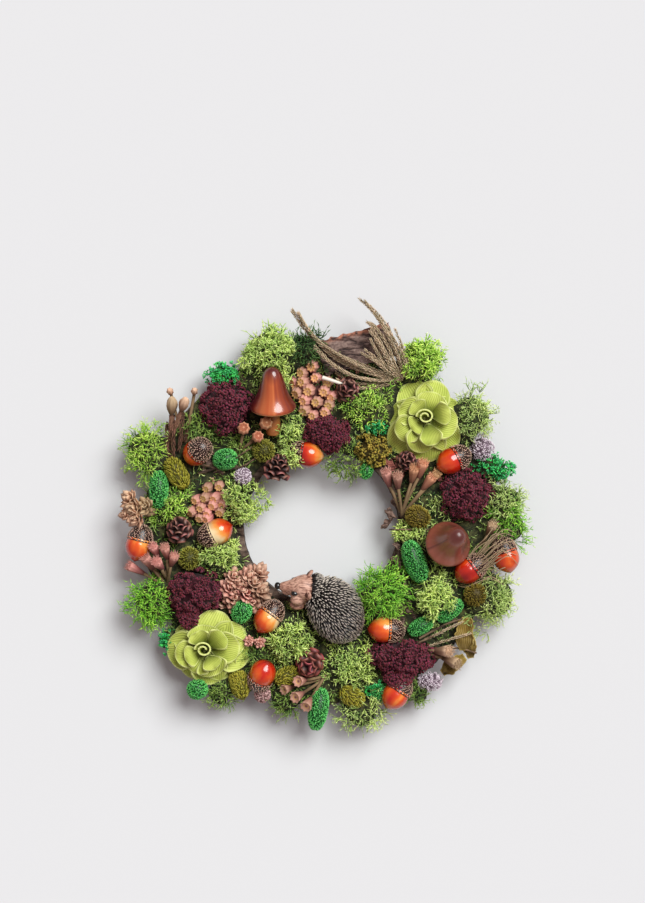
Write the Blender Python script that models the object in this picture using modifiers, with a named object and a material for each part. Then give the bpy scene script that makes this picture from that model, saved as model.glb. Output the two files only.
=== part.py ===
# Moss wreath, lying on its back. A flat-backed ring of bark carries a bed of moss in four
# stretches. Dyed flower heads, carved roses, acorns, larch cones, mushrooms, bud sprays, grass
# and a small hedgehog figure are set on the bed. Metres, +Z up; the hole's axis is vertical.

import math
import random

import bmesh
import bpy
from mathutils import Matrix, Vector
from mathutils.bvhtree import BVHTree
from mathutils.geometry import convex_hull_2d, intersect_point_line

MM = 0.001
SEAT_GAP = 0.3 * MM  # left between two pieces that touch

# The ring of bark
RING_INNER = 58 * MM
RING_OUTER = 135 * MM
RING_THICK = 14 * MM
RING_STEPS = 36
BARK_RIDGE = 0.8 * MM

# The bed of moss on the ring: a mat of upright twigs, one to each cell of a polar grid
BED_INNER = 66 * MM
BED_OUTER = 133 * MM
BED_LEAST = 57 * MM  # no moss comes closer to the middle of the hole
BED_FLOOR = RING_THICK + SEAT_GAP
BED_THICK = 3.7 * MM
BED_STEPS = 20
BED_ROWS = 10
LOW_MOSS = 5.5  # height in mm where no tuft stands
FLOOR = BED_FLOOR + BED_THICK + SEAT_GAP  # where everything on the bed stands

# The bark slab at the top of the wreath
SLAB_SIZE = (56 * MM, 26 * MM, 6.5 * MM)
SLAB_AT = (27, 134)
SLAB_HEADING = 15

# Turned outlines, as (radius, height) from pole to pole, in mm
ACORN = ((0, -13), (5.2, -12.2), (9.4, -8.2), (10.4, -2.6), (9.9, 0.4),
         (9.0, 0.6), (9.3, 4.6), (6.9, 10.8), (0, 15))
ACORN_CUP_RINGS = (1, 2, 3)
ACORN_SIDES = 9
CAP = ((0, 33), (3.4, 32), (6.0, 27.5), (8.8, 20.5), (11.4, 13.5), (14.4, 6.5),
       (16.6, 1.8), (16.2, -0.4), (8.0, 1.2), (0, 1.6))
STEM = ((0, 4), (4.6, 4), (4.4, -0.5), (5.2, -0.9), (3.4, -1), (0, -1))  # under 0: shares of its length
BUD = ((0, 0), (3.1, 4.6), (4.1, 8.6), (0, 7.0))
HEDGEHOG_HEAD = ((0, -10), (10, -8), (12.4, 0), (11, 6), (7.4, 11.5), (4.2, 16.5), (0, 20))

# Places are (x, y) in mm from the ring's centre; headings are degrees anticlockwise from +X,
# and rise is how far the axis points up from level
ACORNS = (
    dict(at=(-93, 56), heading=215, rise=-50),
    dict(at=(100, 50), heading=206, rise=8),
    dict(at=(-137, -11), heading=256, rise=0),
    dict(at=(-80, -4), heading=25, rise=6),
    dict(at=(-44, -112), heading=65, rise=30),
    dict(at=(-39, -67), heading=234, rise=6),
    dict(at=(50, -77), heading=177, rise=4),
    dict(at=(113, -31.5), heading=216, rise=0),
    dict(at=(57, -124), heading=236, rise=0),
    dict(at=(-13, 54), heading=-8, rise=4),
    dict(at=(139, -20), heading=286, rise=0),
)
LARCH_CONES = (
    dict(at=(-35, 40), radius=9.5, heading=70, rise=35),
    dict(at=(21, 102), radius=8.5, heading=90, rise=80),
    dict(at=(64, 49), radius=8.0, heading=60, rise=75),
    dict(at=(-106, -5.5), radius=9.5, heading=90, rise=55),
    dict(at=(-8, -101), radius=10.5, heading=240, rise=75),
)
CONE_TIERS = 4
CONE_SIDES = 8
MUSHROOMS = (
    dict(at=(-36, 89), heading=91, rise=24, stem=21),
    dict(at=(94.5, -13), heading=47, rise=70, stem=16),
)
ROSES = (
    dict(at=(77, 82), turn=20, size=27.0),
    dict(at=(-85, -89), turn=75, size=27.0),
)
PETAL_LAYERS = (  # reach and width as shares of the rose, lean from level, cells across and along
    dict(count=6, reach=1.00, width=0.60, lean=14, root=4.0, cells=(3, 3)),
    dict(count=5, reach=0.78, width=0.48, lean=34, root=8.0, cells=(2, 3)),
    dict(count=3, reach=0.54, width=0.40, lean=58, root=10.0, cells=(2, 2)),
)
PETAL_STAGGER = 27  # degrees between one layer's first petal and the next layer's
PETAL_THICK = 1.0 * MM
PETAL_ROLL = 0.17  # each petal's one edge lies over its neighbour, the other under
ROSE_HEART = ((0, 0), (7.5, 0), (9.2, 8), (8.4, 14), (5.6, 20.5), (3.8, 20.5), (0, 16))

# Dyed heads: half-width, half-depth and height
YARROW_HEADS = {
    "burgundy_head_1": dict(at=(-69, 90), size=(22, 19, 24)),
    "burgundy_head_2": dict(at=(3, 69), size=(19, 17.5, 22)),
    "burgundy_head_3": dict(at=(109, 27), size=(20, 21, 25)),
    "burgundy_head_4": dict(at=(-96, -53), size=(21.5, 23, 25)),
    "burgundy_head_5": dict(at=(61, -101), size=(27, 19, 24)),
    "olive_head": dict(at=(39, 57), size=(13, 12.5, 17)),
    "globe_flower_1": dict(at=(121, 59), size=(9, 9, 14)),
    "globe_flower_2": dict(at=(82, -115), size=(9.5, 8, 13)),
}
FLORET_RISE = 1.08
FLORET_DIP = 0.89

# Canary-grass heads: half-length and radius
CANARY_HEADS = {
    "emerald_head_1": dict(at=(-122, 28), size=(14.5, 7.2), heading=90, rise=0),
    "emerald_head_2": dict(at=(-72, 51), size=(9.5, 7.8), heading=10, rise=25),
    "emerald_head_3": dict(at=(71, -26), size=(17.0, 8.2), heading=110, rise=5),
    "emerald_head_4": dict(at=(75, -75), size=(10.5, 6.0), heading=30, rise=0),
    "emerald_head_5": dict(at=(97, -63), size=(12.0, 6.2), heading=38, rise=0),
    "emerald_head_6": dict(at=(-60, -64), size=(9.0, 7.4), heading=60, rise=20),
    "emerald_head_7": dict(at=(-2, -137), size=(16.5, 7.2), heading=80, rise=0),
    "emerald_head_8": dict(at=(-93, -122), size=(8.0, 7.4), heading=20, rise=10),
    "olive_canary_1": dict(at=(-108, 40), size=(13.0, 7.2), heading=120, rise=0),
    "olive_canary_2": dict(at=(-43, 57), size=(7.8, 7.4), heading=90, rise=60),
    "olive_canary_3": dict(at=(-99, -24), size=(7.6, 7.4), heading=90, rise=60),
    "olive_canary_4": dict(at=(116, -51), size=(8.6, 7.8), heading=90, rise=70),
    "olive_canary_5": dict(at=(73, 7), size=(9.2, 7.6), heading=150, rise=20),
    "olive_canary_6": dict(at=(-61, -119), size=(11.0, 6.6), heading=100, rise=0),
    "olive_canary_7": dict(at=(23, -127), size=(10.0, 7.0), heading=330, rise=0),
}
CANARY_RINGS = 6
CANARY_SIDES = 8

# Loose bud sprays: a root on the bed, and each head's place and height above the bed
SPRAYS = {
    "bud_spray_1": dict(root=(-112, 60), size=1.15, heads=((-112, 89, 7), (-103, 91, 9), (-114, 99, 4))),
    "bud_spray_4": dict(root=(-126, 10), size=1.2, heads=((-142, 20, 8), (-147, 11, 6), (-138, 12, 12))),
    "bud_spray_5": dict(root=(-115, -36), size=1.1,
                        heads=((-124, -18, 12), (-117, -19, 15), (-129, -27, 9), (-137, -34, 4),
                               (-121, -28, 16))),
    "bud_spray_7": dict(root=(-6, -113), size=1.0,
                        heads=((-24, -121, 6), (-17, -126, 7), (-10, -130, 9), (-16, -116, 11))),
    "bud_spray_8": dict(root=(61, 9), size=1.1,
                        heads=((50, 36, 8), (58, 34, 11), (73, 36, 9), (81, 30, 6))),
    "bud_spray_9": dict(root=(100, -86), size=1.1, heads=((91, -94, 10), (99, -101, 8), (112, -86, 6))),
}
# Dense ones: buds over a low core
CLUSTERS = {
    "bud_spray_2": dict(at=(-4, 101), size=1.2, core=(9.5, 18, 8), count=10),
    "bud_spray_3": dict(at=(-85, 20), size=1.05, core=(9, 9, 8), count=7),
    "bud_spray_6": dict(at=(-57, -44), size=1.1, core=(8, 7, 7), count=6),
}
SPRAY_STALK = 1.0 * MM
GOLDEN_TURN = math.radians(137.5)

# Grass ears, gathered at one end: each one's line as (x, y, height above the bed)
GRASS_EARS = (
    ((60, 111, 3.4), (46, 115, 9), (25, 124, 11.5), (5, 133, 12), (-9, 145.5, 14), (-21, 160.5, 16)),
    ((60, 111, 3.4), (42, 112, 11), (24, 119, 13.5), (8, 127, 13)),
    ((60, 111, 3.4), (60, 121, 10), (54, 138, 15), (44, 156, 19), (29, 171, 22)),
    ((60, 111, 3.4), (55, 122, 13), (48, 138, 18), (39, 150, 20), (33, 154, 20)),
    ((60, 111, 3.4), (51, 119, 14), (41, 127, 17), (31, 131, 17)),
    ((60, 111, 3.4), (64, 119, 9), (61, 132, 13), (54, 145, 16), (48, 151, 17)),
)
GRASS_GIRTH = 2.3 * MM
GRASS_SPIKELETS = 9

# Moss tufts that stand above the low moss: place, half-widths and height in mm
TUFTS = (
    dict(at=(-37, 130), reach=(22, 22), height=23), dict(at=(-11, 134), reach=(12, 13), height=16),
    dict(at=(-73, 113), reach=(14, 13), height=15), dict(at=(-22, 68), reach=(13, 20), height=18),
    dict(at=(-89, 75), reach=(12, 12), height=13), dict(at=(-129, 53), reach=(25, 31), height=21),
    dict(at=(-113, 16), reach=(15, 14), height=16), dict(at=(-60, 19), reach=(18, 19), height=19),
    dict(at=(-76, -22), reach=(16, 17), height=19), dict(at=(-126, -57), reach=(18, 18), height=18),
    dict(at=(-116, -86), reach=(7, 9), height=11), dict(at=(-75, -124), reach=(13, 14), height=11),
    dict(at=(-23, -84), reach=(18, 21), height=20), dict(at=(-27, -131), reach=(15, 14), height=14),
    dict(at=(22, -103), reach=(19, 20), height=19), dict(at=(30, -140), reach=(20, 17), height=13),
    dict(at=(44, -123), reach=(11, 9), height=15), dict(at=(73, -126), reach=(10, 11), height=12),
    dict(at=(46, -51), reach=(21, 21), height=22), dict(at=(86, -51), reach=(17, 20), height=21),
    dict(at=(128, -53), reach=(19, 24), height=18), dict(at=(109, -84), reach=(14, 20), height=14),
    dict(at=(141, 0), reach=(14, 20), height=17), dict(at=(139, 18), reach=(15, 18), height=19),
    dict(at=(129, 43), reach=(15, 12), height=17), dict(at=(112, 83), reach=(20, 22), height=21),
    dict(at=(75, 124), reach=(19, 19), height=22), dict(at=(39, 92), reach=(22, 19), height=19),
    dict(at=(41, 75), reach=(9, 8), height=14), dict(at=(22, 54), reach=(16, 12), height=12),
    dict(at=(68, -3), reach=(13, 10), height=13), dict(at=(-5, 117), reach=(9, 8), height=14),
    dict(at=(-90, -118), reach=(11, 11), height=6), dict(at=(82, -113), reach=(11, 11), height=6),
    dict(at=(122, 60), reach=(11, 11), height=6), dict(at=(58, -124), reach=(12, 12), height=6),
    dict(at=(-137, -11), reach=(11, 11), height=6), dict(at=(-2, -136), reach=(12, 12), height=6),
    dict(at=(27, 134), reach=(10, 10), height=6), dict(at=(137, -24), reach=(11, 11), height=6),
)
STRETCHES = {"moss_east": -45, "moss_north": 45, "moss_west": 135, "moss_south": 225}

# The hedgehog, leaning towards the hole: its back, its head and what is on it
HEDGEHOG_AT = (10.5, -62)
HEDGEHOG_HEADING = 118
HEDGEHOG_BACK = (26 * MM, 20.5 * MM, 17 * MM)
HEAD_AT = (-12, -45.7)
HEAD_HEADING = 176
HEAD_RISE_Z = 14 * MM
EAR_ANGLES = (-9, 78)  # round the head's axis from straight up, towards the hole
SPINE = 2.6 * MM

COLOURS = {
    "bark": ((0.16, 0.10, 0.075), 0.9),
    "moss": ((0.30, 0.50, 0.09), 0.95),
    "burgundy": ((0.13, 0.018, 0.035), 0.95),
    "olive": ((0.30, 0.27, 0.03), 0.9),
    "globe": ((0.62, 0.55, 0.62), 0.9),
    "emerald": ((0.02, 0.33, 0.10), 0.85),
    "rose_green": ((0.50, 0.56, 0.14), 0.8),
    "acorn": ((0.85, 0.22, 0.03), 0.25),
    "cone": ((0.17, 0.07, 0.05), 0.75),
    "cap_wood": ((0.42, 0.12, 0.05), 0.2),
    "resin": ((0.20, 0.16, 0.13), 0.7),
    "bud": ((0.48, 0.27, 0.20), 0.85),
    "grass": ((0.36, 0.28, 0.17), 0.9),
}


def clear_scene():
    for obj in list(bpy.data.objects):
        bpy.data.objects.remove(obj, do_unlink=True)


def finish_of(name):
    """The material of that name, made on first use."""
    found = bpy.data.materials.get(name)
    if found:
        return found
    colour, roughness = COLOURS[name]
    made = bpy.data.materials.new(name)
    made.use_nodes = True
    shader = made.node_tree.nodes["Principled BSDF"]
    shader.inputs["Base Color"].default_value = (*colour, 1)
    shader.inputs["Roughness"].default_value = roughness
    shader.inputs["Metallic"].default_value = 0
    return made


def put(name, bm, finish, location=(0, 0, 0), rotation=None):
    """Makes an object of a bmesh, in the wreath's collection."""
    bmesh.ops.recalc_face_normals(bm, faces=bm.faces)
    if bm.calc_volume(signed=True) < 0:
        bmesh.ops.reverse_faces(bm, faces=bm.faces)
    mesh = bpy.data.meshes.new(name)
    bm.to_mesh(mesh)
    bm.free()
    obj = bpy.data.objects.new(name, mesh)
    mesh.materials.append(finish_of(finish))
    WREATH.objects.link(obj)
    obj.location = location
    if rotation is not None:
        obj.rotation_euler = rotation.to_euler()
    bpy.context.view_layer.update()
    return obj


def aimed(heading, rise):
    """The turn that takes +Z to a heading and a rise, both in degrees."""
    return (Matrix.Rotation(math.radians(heading), 3, "Z")
            @ Matrix.Rotation(math.radians(90 - rise), 3, "Y"))


def spot(at, height=0.0):
    return Vector((at[0] * MM, at[1] * MM, height))


def seat(obj, floor=FLOOR):
    """Lifts or lowers an object until its lowest point stands on the floor given."""
    lowest = min((obj.matrix_world @ v.co).z for v in obj.data.vertices)
    obj.location.z += floor - lowest
    bpy.context.view_layer.update()
    return obj


def turned(outline, sides, relief=None, scale=MM):
    """A closed turned solid, spun from its outline. relief(ring, side) gives a share of the radius."""
    bm = bmesh.new()
    ring_of = bm.verts.layers.int.new("ring")
    line = [bm.verts.new((radius * scale, 0, height * scale)) for radius, height in outline]
    for ring, vert in enumerate(line):
        vert[ring_of] = ring
    edges = [bm.edges.new(pair) for pair in zip(line, line[1:])]
    bmesh.ops.spin(bm, geom=line + edges, cent=(0, 0, 0), axis=(0, 0, 1),
                   angle=2 * math.pi, steps=sides, use_merge=True)
    bmesh.ops.remove_doubles(bm, verts=bm.verts, dist=1e-6)
    if relief:
        for vert in bm.verts:
            side = round(math.atan2(vert.co.y, vert.co.x) * sides / (2 * math.pi)) % sides
            share = relief(vert[ring_of], side)
            vert.co.x *= share
            vert.co.y *= share
    return bm


def meshed(obj):
    """A curve object as a mesh object with its caps welded; the curve is removed."""
    graph = bpy.context.evaluated_depsgraph_get()
    mesh = bpy.data.meshes.new_from_object(obj.evaluated_get(graph))
    bm = bmesh.new()
    bm.from_mesh(mesh)
    bmesh.ops.remove_doubles(bm, verts=bm.verts, dist=1e-6)
    name, placed = obj.name, obj.matrix_world.copy()
    curve = obj.data
    bpy.data.objects.remove(obj)
    bpy.data.curves.remove(curve)
    bpy.data.meshes.remove(mesh)
    made = put(name + "_mesh", bm, "moss")
    made.matrix_world = placed
    return made


def fused(name, pieces, finish, solver="EXACT"):
    """One node of several overlapping pieces, joined by a single union."""
    base, *others = pieces
    group = bpy.data.collections.new(name + "_pieces")
    for piece in others:
        group.objects.link(piece)
    join = base.modifiers.new("join", "BOOLEAN")
    join.operation = "UNION"
    join.operand_type = "COLLECTION"
    join.collection = group
    join.solver = solver
    graph = bpy.context.evaluated_depsgraph_get()
    mesh = bpy.data.meshes.new_from_object(base.evaluated_get(graph))
    node = bpy.data.objects.new(name, mesh)
    WREATH.objects.link(node)
    node.matrix_world = base.matrix_world.copy()
    for piece in pieces:
        bpy.data.objects.remove(piece)
    bpy.data.collections.remove(group)
    mesh.name = name
    mesh.materials.clear()
    mesh.materials.append(finish_of(finish))
    keep_largest_body(mesh)
    bpy.context.view_layer.update()
    return node


def keep_largest_body(mesh):
    """Drops any loose scrap that a union leaves."""
    bm = bmesh.new()
    bm.from_mesh(mesh)
    bodies, seen = [], set()
    for start in bm.verts:
        if start in seen:
            continue
        body, front = {start}, [start]
        while front:
            for edge in front.pop().link_edges:
                for vert in edge.verts:
                    if vert not in body:
                        body.add(vert)
                        front.append(vert)
        seen |= body
        bodies.append(body)
    largest = max(bodies, key=len)
    bmesh.ops.delete(bm, geom=[v for v in bm.verts if v not in largest], context="VERTS")
    bm.to_mesh(mesh)
    bm.free()


def plan_outline(obj):
    """The convex outline of an object as seen from above."""
    points = [(obj.matrix_world @ v.co).xy for v in obj.data.vertices]
    return [points[i] for i in convex_hull_2d(points)]


def nearest_on(outline, point):
    """The point of a convex outline that is nearest to a point outside it."""
    best = None
    for start, end in zip(outline, outline[1:] + outline[:1]):
        found, share = intersect_point_line(point, start, end)
        here = start if share < 0 else end if share > 1 else found.xy
        if best is None or (here - point).length < (best - point).length:
            best = here
    return best


def is_inside(outline, point):
    turns = [(b - a).cross(point - a) for a, b in zip(outline, outline[1:] + outline[:1])]
    return min(turns) > 0 or max(turns) < 0


def room_at(anchor, floor, outlines):
    """Half-spaces round an anchor, as (outward normal, distance), that keep clear of the floor
    and of every outline given."""
    room = [(Vector((0, 0, -1)), anchor.z - floor)]
    for name, outline in outlines.items():
        if is_inside(outline, anchor.xy):
            raise ValueError(f"a head at {anchor.xy / MM} stands inside {name}")
        away = nearest_on(outline, anchor.xy) - anchor.xy
        room.append((Vector((away.x, away.y, 0)).normalized(), away.length - SEAT_GAP))
    return room


def draw_in(bm, room):
    """Draws each point in towards the mesh's origin until it lies in every half-space."""
    for vert in bm.verts:
        shares = [far / vert.co.dot(normal) for normal, far in room if vert.co.dot(normal) > far]
        vert.co *= min(shares, default=1.0)


def inflated_tree(objects, growth):
    """A search tree of the objects' surfaces, each grown outwards a little and lifted by half of
    that, so that what they stand on stays just outside it."""
    points, faces = [], []
    for obj in objects:
        first = len(points)
        turn = obj.matrix_world.to_3x3()
        lift = Vector((0, 0, growth / 2))
        points += [obj.matrix_world @ v.co + (turn @ v.normal) * growth + lift for v in obj.data.vertices]
        obj.data.calc_loop_triangles()
        faces += [[first + index for index in face.vertices] for face in obj.data.loop_triangles]
    return BVHTree.FromPolygons(points, faces, all_triangles=True)


def make_ring():
    """The flat-backed ring: a section spun round the hole, with ridged bark on its two walls."""
    section = ((RING_INNER, 0), (RING_INNER - 1.2 * MM, RING_THICK * 0.5), (RING_INNER + 1 * MM, RING_THICK),
               (RING_OUTER - 1 * MM, RING_THICK), (RING_OUTER + 1 * MM, RING_THICK * 0.55), (RING_OUTER, 0))
    bm = bmesh.new()
    corners = [bm.verts.new((radius, 0, height)) for radius, height in section]
    edges = [bm.edges.new(pair) for pair in zip(corners, corners[1:] + corners[:1])]
    bmesh.ops.spin(bm, geom=corners + edges, cent=(0, 0, 0), axis=(0, 0, 1),
                   angle=2 * math.pi, steps=RING_STEPS, use_merge=True)
    bmesh.ops.remove_doubles(bm, verts=bm.verts, dist=1e-6)
    for vert in bm.verts:
        radius = vert.co.xy.length
        angle = math.atan2(vert.co.y, vert.co.x)
        ridge = BARK_RIDGE * (-1) ** round(angle * RING_STEPS / (2 * math.pi))
        wave = 1.3 * MM * math.sin(5 * angle + 0.4) + 0.8 * MM * math.sin(11 * angle)
        outward = 1 if radius > (RING_INNER + RING_OUTER) / 2 else -1
        vert.co.xy *= (radius + outward * (wave + ridge)) / radius
    return put("bark_ring", bm, "bark")


def make_slab():
    """A piece of bark lying across the top of the ring, arched a little and ragged at its edges."""
    bm = bmesh.new()
    bmesh.ops.create_cube(bm, size=1)
    bmesh.ops.subdivide_edges(bm, edges=[e for e in bm.edges if abs(e.verts[0].co.x - e.verts[1].co.x) > 0.5],
                              cuts=7, use_grid_fill=True)
    bmesh.ops.subdivide_edges(bm, edges=[e for e in bm.edges if abs(e.verts[0].co.y - e.verts[1].co.y) > 0.5],
                              cuts=2, use_grid_fill=True)
    chance = random.Random(4)
    for vert in bm.verts:
        is_edge = abs(vert.co.y) > 0.49 or abs(vert.co.x) > 0.49
        vert.co = Vector([c * s for c, s in zip(vert.co, SLAB_SIZE)])
        if is_edge:
            vert.co.x += chance.uniform(-1.2, 1.2) * MM
            vert.co.y += chance.uniform(-1.2, 1.2) * MM
        if vert.co.z > 0:
            vert.co.z += chance.uniform(-0.8, 0.8) * MM
    slab = put("bark_slab", bm, "bark", spot(SLAB_AT), Matrix.Rotation(math.radians(SLAB_HEADING), 3, "Z"))
    return seat(slab)


def make_acorn(name, at, heading, rise):
    """A nut in its beaded cup. The cup's beads are relief on every other point of its rings."""
    def beads(ring, side):
        return 1.06 if ring in ACORN_CUP_RINGS and (ring + side) % 2 else 1.0
    bm = turned(ACORN, ACORN_SIDES, beads)
    return seat(put(name, bm, "acorn", spot(at), aimed(heading, rise)))


def make_larch_cone(name, at, radius, heading, rise):
    """Tiers of lobed scales, each tier an overhanging lip above a notch."""
    outline = [(0, 0)]
    for tier in range(CONE_TIERS):
        share = tier / CONE_TIERS
        lip = radius * math.cos(0.42 * math.pi * share) * (0.86 if tier == 0 else 1.0)
        height = radius * (0.25 + 1.35 * share)
        outline += [(lip, height), (lip * 0.66, height + radius * 0.16)]
    outline.append((0, radius * 1.75))

    def lobes(ring, side):
        tier = (ring - 1) // 2
        return 1.08 if (side + tier) % 2 else 0.93
    bm = turned(outline, CONE_SIDES, lobes)
    return seat(put(name, bm, "cone", spot(at), aimed(heading, rise)))


def make_mushroom(name, at, heading, rise, stem):
    """A turned wooden mushroom, its stem running up into the cap."""
    outline = [(radius, height if height > 0 else height * stem) for radius, height in STEM]
    pieces = [put("cap", turned(CAP, 14), "cap_wood"), put("stem", turned(outline, 8), "cap_wood")]
    mushroom = fused(name, pieces, "cap_wood")
    mushroom.location = spot(at)
    mushroom.rotation_euler = aimed(heading, rise).to_euler()
    bpy.context.view_layer.update()
    return seat(mushroom)


def make_petal(size, turn, reach, width, lean, root, cells):
    """One petal: a small grid rounded at its tip, bent up along its length and rolled, so that it
    lies under one neighbour and over the other, given thickness."""
    bm = bmesh.new()
    bmesh.ops.create_grid(bm, x_segments=cells[0], y_segments=cells[1], size=0.5)
    long, half = size * MM * reach, size * MM * width
    tilt = math.radians(lean)
    for vert in bm.verts:
        across, along = vert.co.x * 2, vert.co.y + 0.5
        spread = (0.22 + 0.78 * math.sin(math.pi * (0.04 + 0.68 * along))) * half
        lift = half * (PETAL_ROLL * across + 0.07 * across ** 2 * along)
        out = long * along * math.cos(tilt * (0.55 + 0.45 * along)) * (1 - 0.14 * across ** 2 * along)
        up = long * along * math.sin(tilt * (1.1 - 0.35 * along)) + lift - 0.10 * long * along ** 3
        vert.co = Vector((out, across * spread, up + root * MM))
    bmesh.ops.rotate(bm, verts=bm.verts, cent=(0, 0, 0), matrix=Matrix.Rotation(turn, 3, "Z"))
    petal = put("petal", bm, "rose_green")
    wall = petal.modifiers.new("wall", "SOLIDIFY")
    wall.thickness = PETAL_THICK
    wall.offset = 0
    graph = bpy.context.evaluated_depsgraph_get()
    mesh = bpy.data.meshes.new_from_object(petal.evaluated_get(graph))
    petal.modifiers.clear()
    petal.data = mesh
    return petal


def make_rose(name, at, turn, size):
    """A carved rose: three layers of petals rooted in a narrow heart."""
    heart = put("heart", turned(ROSE_HEART, 9), "rose_green")
    pieces = [heart]
    for layer, row in enumerate(PETAL_LAYERS):
        shape = {key: value for key, value in row.items() if key != "count"}
        for k in range(row["count"]):
            angle = math.radians(PETAL_STAGGER) * (layer + 1) + 2 * math.pi * k / row["count"]
            pieces.append(make_petal(size, angle, **shape))
    rose = fused(name, pieces, "rose_green", "MANIFOLD")
    rose.location = spot(at)
    rose.rotation_euler.z = math.radians(turn)
    bpy.context.view_layer.update()
    return seat(rose)


def make_canary_head(name, at, size, heading, rise):
    """A dense oval seed head, its glumes raised on every other point."""
    length, radius = size
    outline = [(radius * math.sin(math.pi * k / (CANARY_RINGS + 1)) ** 0.75,
                -length * math.cos(math.pi * k / (CANARY_RINGS + 1))) for k in range(CANARY_RINGS + 2)]

    def glumes(ring, side):
        return 1.08 if (ring + side) % 2 else 0.84
    bm = turned(outline, CANARY_SIDES, glumes)
    finish = "emerald" if name.startswith("emerald") else "olive"
    return seat(put(name, bm, finish, spot(at), aimed(heading, rise)))


def make_dome_head(name, at, size, outlines):
    """A dense flat-bottomed head, with a floret raised at every coarse point of a ball."""
    anchor = spot(at, FLOOR + 3 * MM)
    wide, deep, tall = (s * MM for s in size)
    coarse = bmesh.new()
    bmesh.ops.create_icosphere(coarse, subdivisions=2, radius=1)
    florets = {tuple(round(c, 3) for c in v.co) for v in coarse.verts}
    coarse.free()
    bm = bmesh.new()
    bmesh.ops.create_icosphere(bm, subdivisions=3, radius=1)
    for vert in bm.verts:
        rise = FLORET_RISE if tuple(round(c, 3) for c in vert.co) in florets else FLORET_DIP
        vert.co = Vector((vert.co.x * wide, vert.co.y * deep, vert.co.z * (tall - 3 * MM))) * rise
    draw_in(bm, room_at(anchor, FLOOR, outlines))
    merge_flat(bm)
    finish = {"olive": "olive", "globe": "globe"}.get(name.split("_")[0], "burgundy")
    return put(name, bm, finish, anchor)


def make_ball(radius, place, stretch=(1, 1, 1), turn=None, level=1):
    bm = bmesh.new()
    bmesh.ops.create_icosphere(bm, subdivisions=level, radius=radius)
    bmesh.ops.scale(bm, verts=bm.verts, vec=stretch)
    return put("ball", bm, "resin", place, turn)


def make_bud(root, head, size):
    """One bud, pointing away from the root of its spray."""
    axis = (head - root).normalized()
    bm = turned(BUD, 6, lambda ring, side: 1.1 if ring == 2 and side % 2 else 1.0, MM * size)
    return put("bud", bm, "bud", head - axis * 8 * MM * size, axis.to_track_quat("Z", "Y").to_matrix())


def make_stalk(root, head, size):
    axis = head - root
    reach = axis.length - 6 * MM * size
    bm = bmesh.new()
    bmesh.ops.create_cone(bm, cap_ends=True, segments=4, depth=reach,
                          radius1=SPRAY_STALK * 1.2, radius2=SPRAY_STALK)
    turn = axis.to_track_quat("Z", "Y").to_matrix()
    return put("stalk", bm, "bud", root + axis.normalized() * reach / 2, turn)


def make_spray(name, root, size, heads):
    """A loose spray: a bud at each head's place, on a stalk from one knot."""
    foot = spot(root, FLOOR + 2.5 * MM)
    pieces = [make_ball(2.6 * MM, foot)]
    for x, y, above in heads:
        head = spot((x, y), FLOOR + (above + 4) * MM)
        pieces += [make_bud(foot, head, size), make_stalk(foot, head, size)]
    return seat(fused(name, pieces, "bud", "MANIFOLD"))


def make_cluster(name, at, size, core, count):
    """A dense spray: buds all over a low core, spaced by the golden angle."""
    foot = spot(at, FLOOR + 2.5 * MM)
    pieces = [make_ball(MM, foot, core, level=2)]
    for k in range(count):
        share = (k + 0.4) / count
        out = math.sqrt(1 - (1 - share) ** 2)
        way = Vector((core[0] * out * math.cos(k * GOLDEN_TURN), core[1] * out * math.sin(k * GOLDEN_TURN),
                      core[2] * (1.1 - share))) * MM
        lean = Vector((way.x, way.y, way.z * 2 + 4 * MM)).normalized()
        pieces.append(make_bud(foot + way - lean * MM, foot + way + lean * 5 * MM, size))
    return seat(fused(name, pieces, "bud", "MANIFOLD"))


def make_grass():
    """Grass ears: curves whose thickness swells at each spikelet, gathered in one knot."""
    start = GRASS_EARS[0][0]
    pieces = [make_ball(3.4 * MM, spot(start[:2], FLOOR + start[2] * MM))]
    for line in GRASS_EARS:
        guide = [spot(point[:2], FLOOR + point[2] * MM) for point in line]
        curve = bpy.data.curves.new("ear", "CURVE")
        curve.dimensions = "3D"
        curve.bevel_depth = GRASS_GIRTH
        curve.bevel_resolution = 0
        curve.use_fill_caps = True
        spline = curve.splines.new("POLY")
        spline.points.add(GRASS_SPIKELETS - 1)
        for k, point in enumerate(spline.points):
            share = k / (GRASS_SPIKELETS - 1)
            point.co = (*along(guide, share), 1)
            swell = 1.0 if k % 2 else 0.62
            point.radius = swell * (0.45 + 0.55 * math.sin(math.pi * (0.15 + 0.75 * share)))
        obj = bpy.data.objects.new("ear", curve)
        WREATH.objects.link(obj)
        bpy.context.view_layer.update()
        pieces.append(meshed(obj))
    return fused("grass_ears", pieces, "grass", "MANIFOLD")


def along(guide, share):
    """A point at a share of the way along a smooth line through the guide's points."""
    place = share * (len(guide) - 1)
    index = min(int(place), len(guide) - 2)
    t = place - index
    before = guide[max(index - 1, 0)]
    start, end = guide[index], guide[index + 1]
    after = guide[min(index + 2, len(guide) - 1)]
    return 0.5 * ((2 * start) + (end - before) * t + (2 * before - 5 * start + 4 * end - after) * t ** 2
                  + (3 * start - before - 3 * end + after) * t ** 3)


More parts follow.
